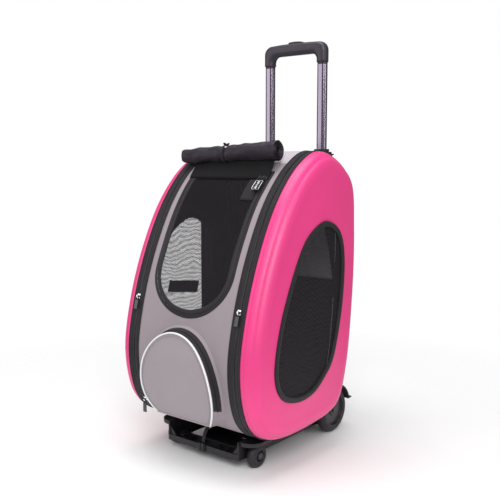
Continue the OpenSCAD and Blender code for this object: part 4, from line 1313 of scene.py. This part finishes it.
def inflate(obj, voxel, cap):
    """Cloth simulation with pressure, applied to the mesh, with a cap on each point's travel."""
    remesh = obj.modifiers.new("remesh", "REMESH")
    remesh.mode = "VOXEL"
    remesh.voxel_size = voxel
    apply_modifiers(obj)
    start = np.array([v.co[:] for v in obj.data.vertices])
    cloth = obj.modifiers.new("cloth", "CLOTH")
    cloth.settings.use_pressure = True
    cloth.settings.uniform_pressure_force = 4.0
    cloth.settings.quality = 5
    cloth.settings.effector_weights.gravity = 0.0
    scene = bpy.context.scene
    for step in range(1, 21):
        scene.frame_set(step)
    moved = obj.evaluated_get(bpy.context.evaluated_depsgraph_get()).data
    end = np.array([v.co[:] for v in moved.vertices])
    obj.modifiers.clear()
    scene.frame_set(1)
    travel = end - start
    length = np.linalg.norm(travel, axis=1, keepdims=True)
    travel *= np.minimum(1, cap / np.maximum(length, 1e-9))
    obj.data.vertices.foreach_set("co", (start + travel).ravel())
    obj.data.update()
    finer = obj.modifiers.new("finer", "SUBSURF")
    finer.levels = finer.render_levels = 1
    apply_modifiers(obj)
    obj.data.polygons.foreach_set("use_smooth", [True] * len(obj.data.polygons))


def apply_modifiers(obj):
    """Puts what the modifiers make in place of the object's mesh."""
    graph = bpy.context.evaluated_depsgraph_get()
    done = bpy.data.meshes.new_from_object(obj.evaluated_get(graph))
    for mat in obj.data.materials:
        if mat.name not in [m.name for m in done.materials if m]:
            done.materials.append(mat)
    obj.modifiers.clear()
    obj.data = done


def front_strap():
    """Webbing that curves from the clip on the tray up to the bag's floor."""
    low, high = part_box("front_strap")
    turn = np.radians(np.linspace(180, 106, 24))
    centre_y = low.y + 40.8 * MM
    y = centre_y + 40 * MM * np.cos(turn)
    z = low.z + 0.4 * MM + 36.8 * MM * np.sin(turn)
    x = np.linspace(low.x, high.x, 9)
    points = np.stack([np.column_stack([np.full(len(y), a), y, z]) for a in x], 1)
    obj = grid("strap_webbing", points, "carrier", MATS["black_webbing"])
    flat = (high.x - low.x, arc_lengths(points[:, 4])[-1])
    sew(obj, 1.4 * MM, flat, "hung", ["front_latch"], "front_strap", 0)


# ---- Build -----------------------------------------------------------------------------

dress_frame()
grip_bar()
pull_frames()
for side, hand in ((-1, "left"), (1, "right")):
    body = f"{hand}_shell"
    side_shell(side, f"foam_shell_{hand}", body, f"shell_{hand}")
    side_seam(side, f"shell_stitch_{hand}", body)
    side_rim(side, f"bound_rim_{hand}", body, f"window_rim_{hand}")
    rim_stitches(side, f"rim_stitch_{hand}", body)
    side_mesh(side, f"netting_{hand}", body, f"window_mesh_{hand}")
    zip_band(side, f"zip_tape_{hand}", f"zip_band_{hand}")
    band_trim(side, hand)
window_strip()
window_patch()
panel("front_cloth", 1, 7, "front_panel", MATS["grey_canvas"], cut=front_cut)
# The top panel takes the lighter copy of the grey canvas, a painted highlight.
panel("top_cloth", 13, 15, "top_panel", MATS["top_canvas"], seed=2.0)
panel("back_cloth", 9, 13, "back_panel", MATS["black_canvas"], seed=3.0)
panel("floor_cloth", 7, 9, "bottom_panel", MATS["black_canvas"], seed=4.0, bulge=0)
back_lining()
door_pieces()
door_cloth()
pocket()
rolled_cover()
roll_flap()
roll_tie()
back_sleeve()
floor_board()
pet_cushion()
front_strap()

# ---- Floor, light and camera --------------------------------------------------------------

FLOOR_R = 1.1
# Strength of the white room as light on surfaces and as a reflection in them.
FILL = 0.42
GLOSS_FILL = 0.16


def studio_floor():
    """Pale floor round the carrier that fades out into the white room."""
    s = Shader("studio_floor")
    fine = s.noise(3, 3)
    away = s.tree.nodes.new("ShaderNodeVectorMath")
    away.operation = "LENGTH"
    s.tree.links.new(s.where(), away.inputs[0])
    fade = s.math("SUBTRACT", 1.0, s.math("DIVIDE", away.outputs["Value"], FLOOR_R))
    fade = s.math("MINIMUM", s.math("MAXIMUM", s.math("MULTIPLY", fade, 1.6), 0.0), 1.0)
    mat = s.set(
        colour=s.tint(fine, (0.9, 0.9, 0.9), (0.92, 0.92, 0.92)), rough=0.7, specular=0.0, alpha=fade,
    )
    mesh = bpy.data.meshes.new("studio_floor")
    turn = np.linspace(0, 2 * math.pi, 96, endpoint=False)
    edge = [(FLOOR_R * math.cos(a), FLOOR_R * math.sin(a), 0) for a in turn]
    mesh.from_pydata(edge, [], [tuple(range(len(edge)))])
    mesh.materials.append(mat)
    floor = bpy.data.objects.new("studio_floor", mesh)
    bpy.context.scene.collection.objects.link(floor)


def soft_light(name, place, target, size, power):
    """Oblong lamp that faces its target."""
    lamp = bpy.data.lights.new(name, "AREA")
    lamp.shape = "RECTANGLE"
    lamp.size, lamp.size_y = size
    lamp.energy = power
    obj = bpy.data.objects.new(name, lamp)
    obj.location = place
    obj.rotation_euler = (Vector(target) - Vector(place)).to_track_quat("-Z", "Y").to_euler()
    bpy.context.scene.collection.objects.link(obj)


def set_camera():
    """Camera at eye level in front and to the right, looking slightly down."""
    azimuth, down = math.radians(39.0), math.radians(6.9)
    cam = bpy.data.cameras.new("camera")
    cam.sensor_width = 36.0
    cam.lens = 54.5
    obj = bpy.data.objects.new("camera", cam)
    obj.location = (0.9912, AXLE_Y - 1.3721, 0.60)
    look = Vector((
        -math.sin(azimuth) * math.cos(down), math.cos(azimuth) * math.cos(down), -math.sin(down),
    ))
    obj.rotation_euler = look.to_track_quat("-Z", "Y").to_euler()
    bpy.context.scene.collection.objects.link(obj)
    bpy.context.scene.camera = obj


def set_world():
    """White room: full strength as a backdrop, dimmer as fill, dimmer still in reflections."""
    world = bpy.data.worlds.new("studio")
    world.use_nodes = True
    tree = world.node_tree
    path = tree.nodes.new("ShaderNodeLightPath")
    glossy = tree.nodes.new("ShaderNodeMath")
    glossy.operation = "MULTIPLY_ADD"
    glossy.inputs[1].default_value = GLOSS_FILL - FILL
    glossy.inputs[2].default_value = FILL
    tree.links.new(path.outputs["Is Glossy Ray"], glossy.inputs[0])
    seen = tree.nodes.new("ShaderNodeMath")
    seen.operation = "MAXIMUM"
    tree.links.new(path.outputs["Is Camera Ray"], seen.inputs[0])
    tree.links.new(glossy.outputs[0], seen.inputs[1])
    tree.links.new(seen.outputs[0], tree.nodes["Background"].inputs[1])
    tree.nodes["Background"].inputs[0].default_value = (1, 1, 1, 1)
    bpy.context.scene.world = world
    bpy.context.scene.view_settings.view_transform = "Standard"


studio_floor()
set_world()
soft_light("key", (1.7, -1.9, 1.9), (0, 0, 0.35), (1.2, 1.4), 44)
soft_light("left", (-1.7, -1.8, 1.2), (0, 0, 0.35), (1.5, 2.0), 15)
soft_light("side", (2.4, 0.1, 1.1), (0, 0, 0.35), (0.5, 1.8), 10)
soft_light("top", (-0.1, -0.2, 2.6), (0, 0, 0.4), (1.6, 1.6), 34)
set_camera()
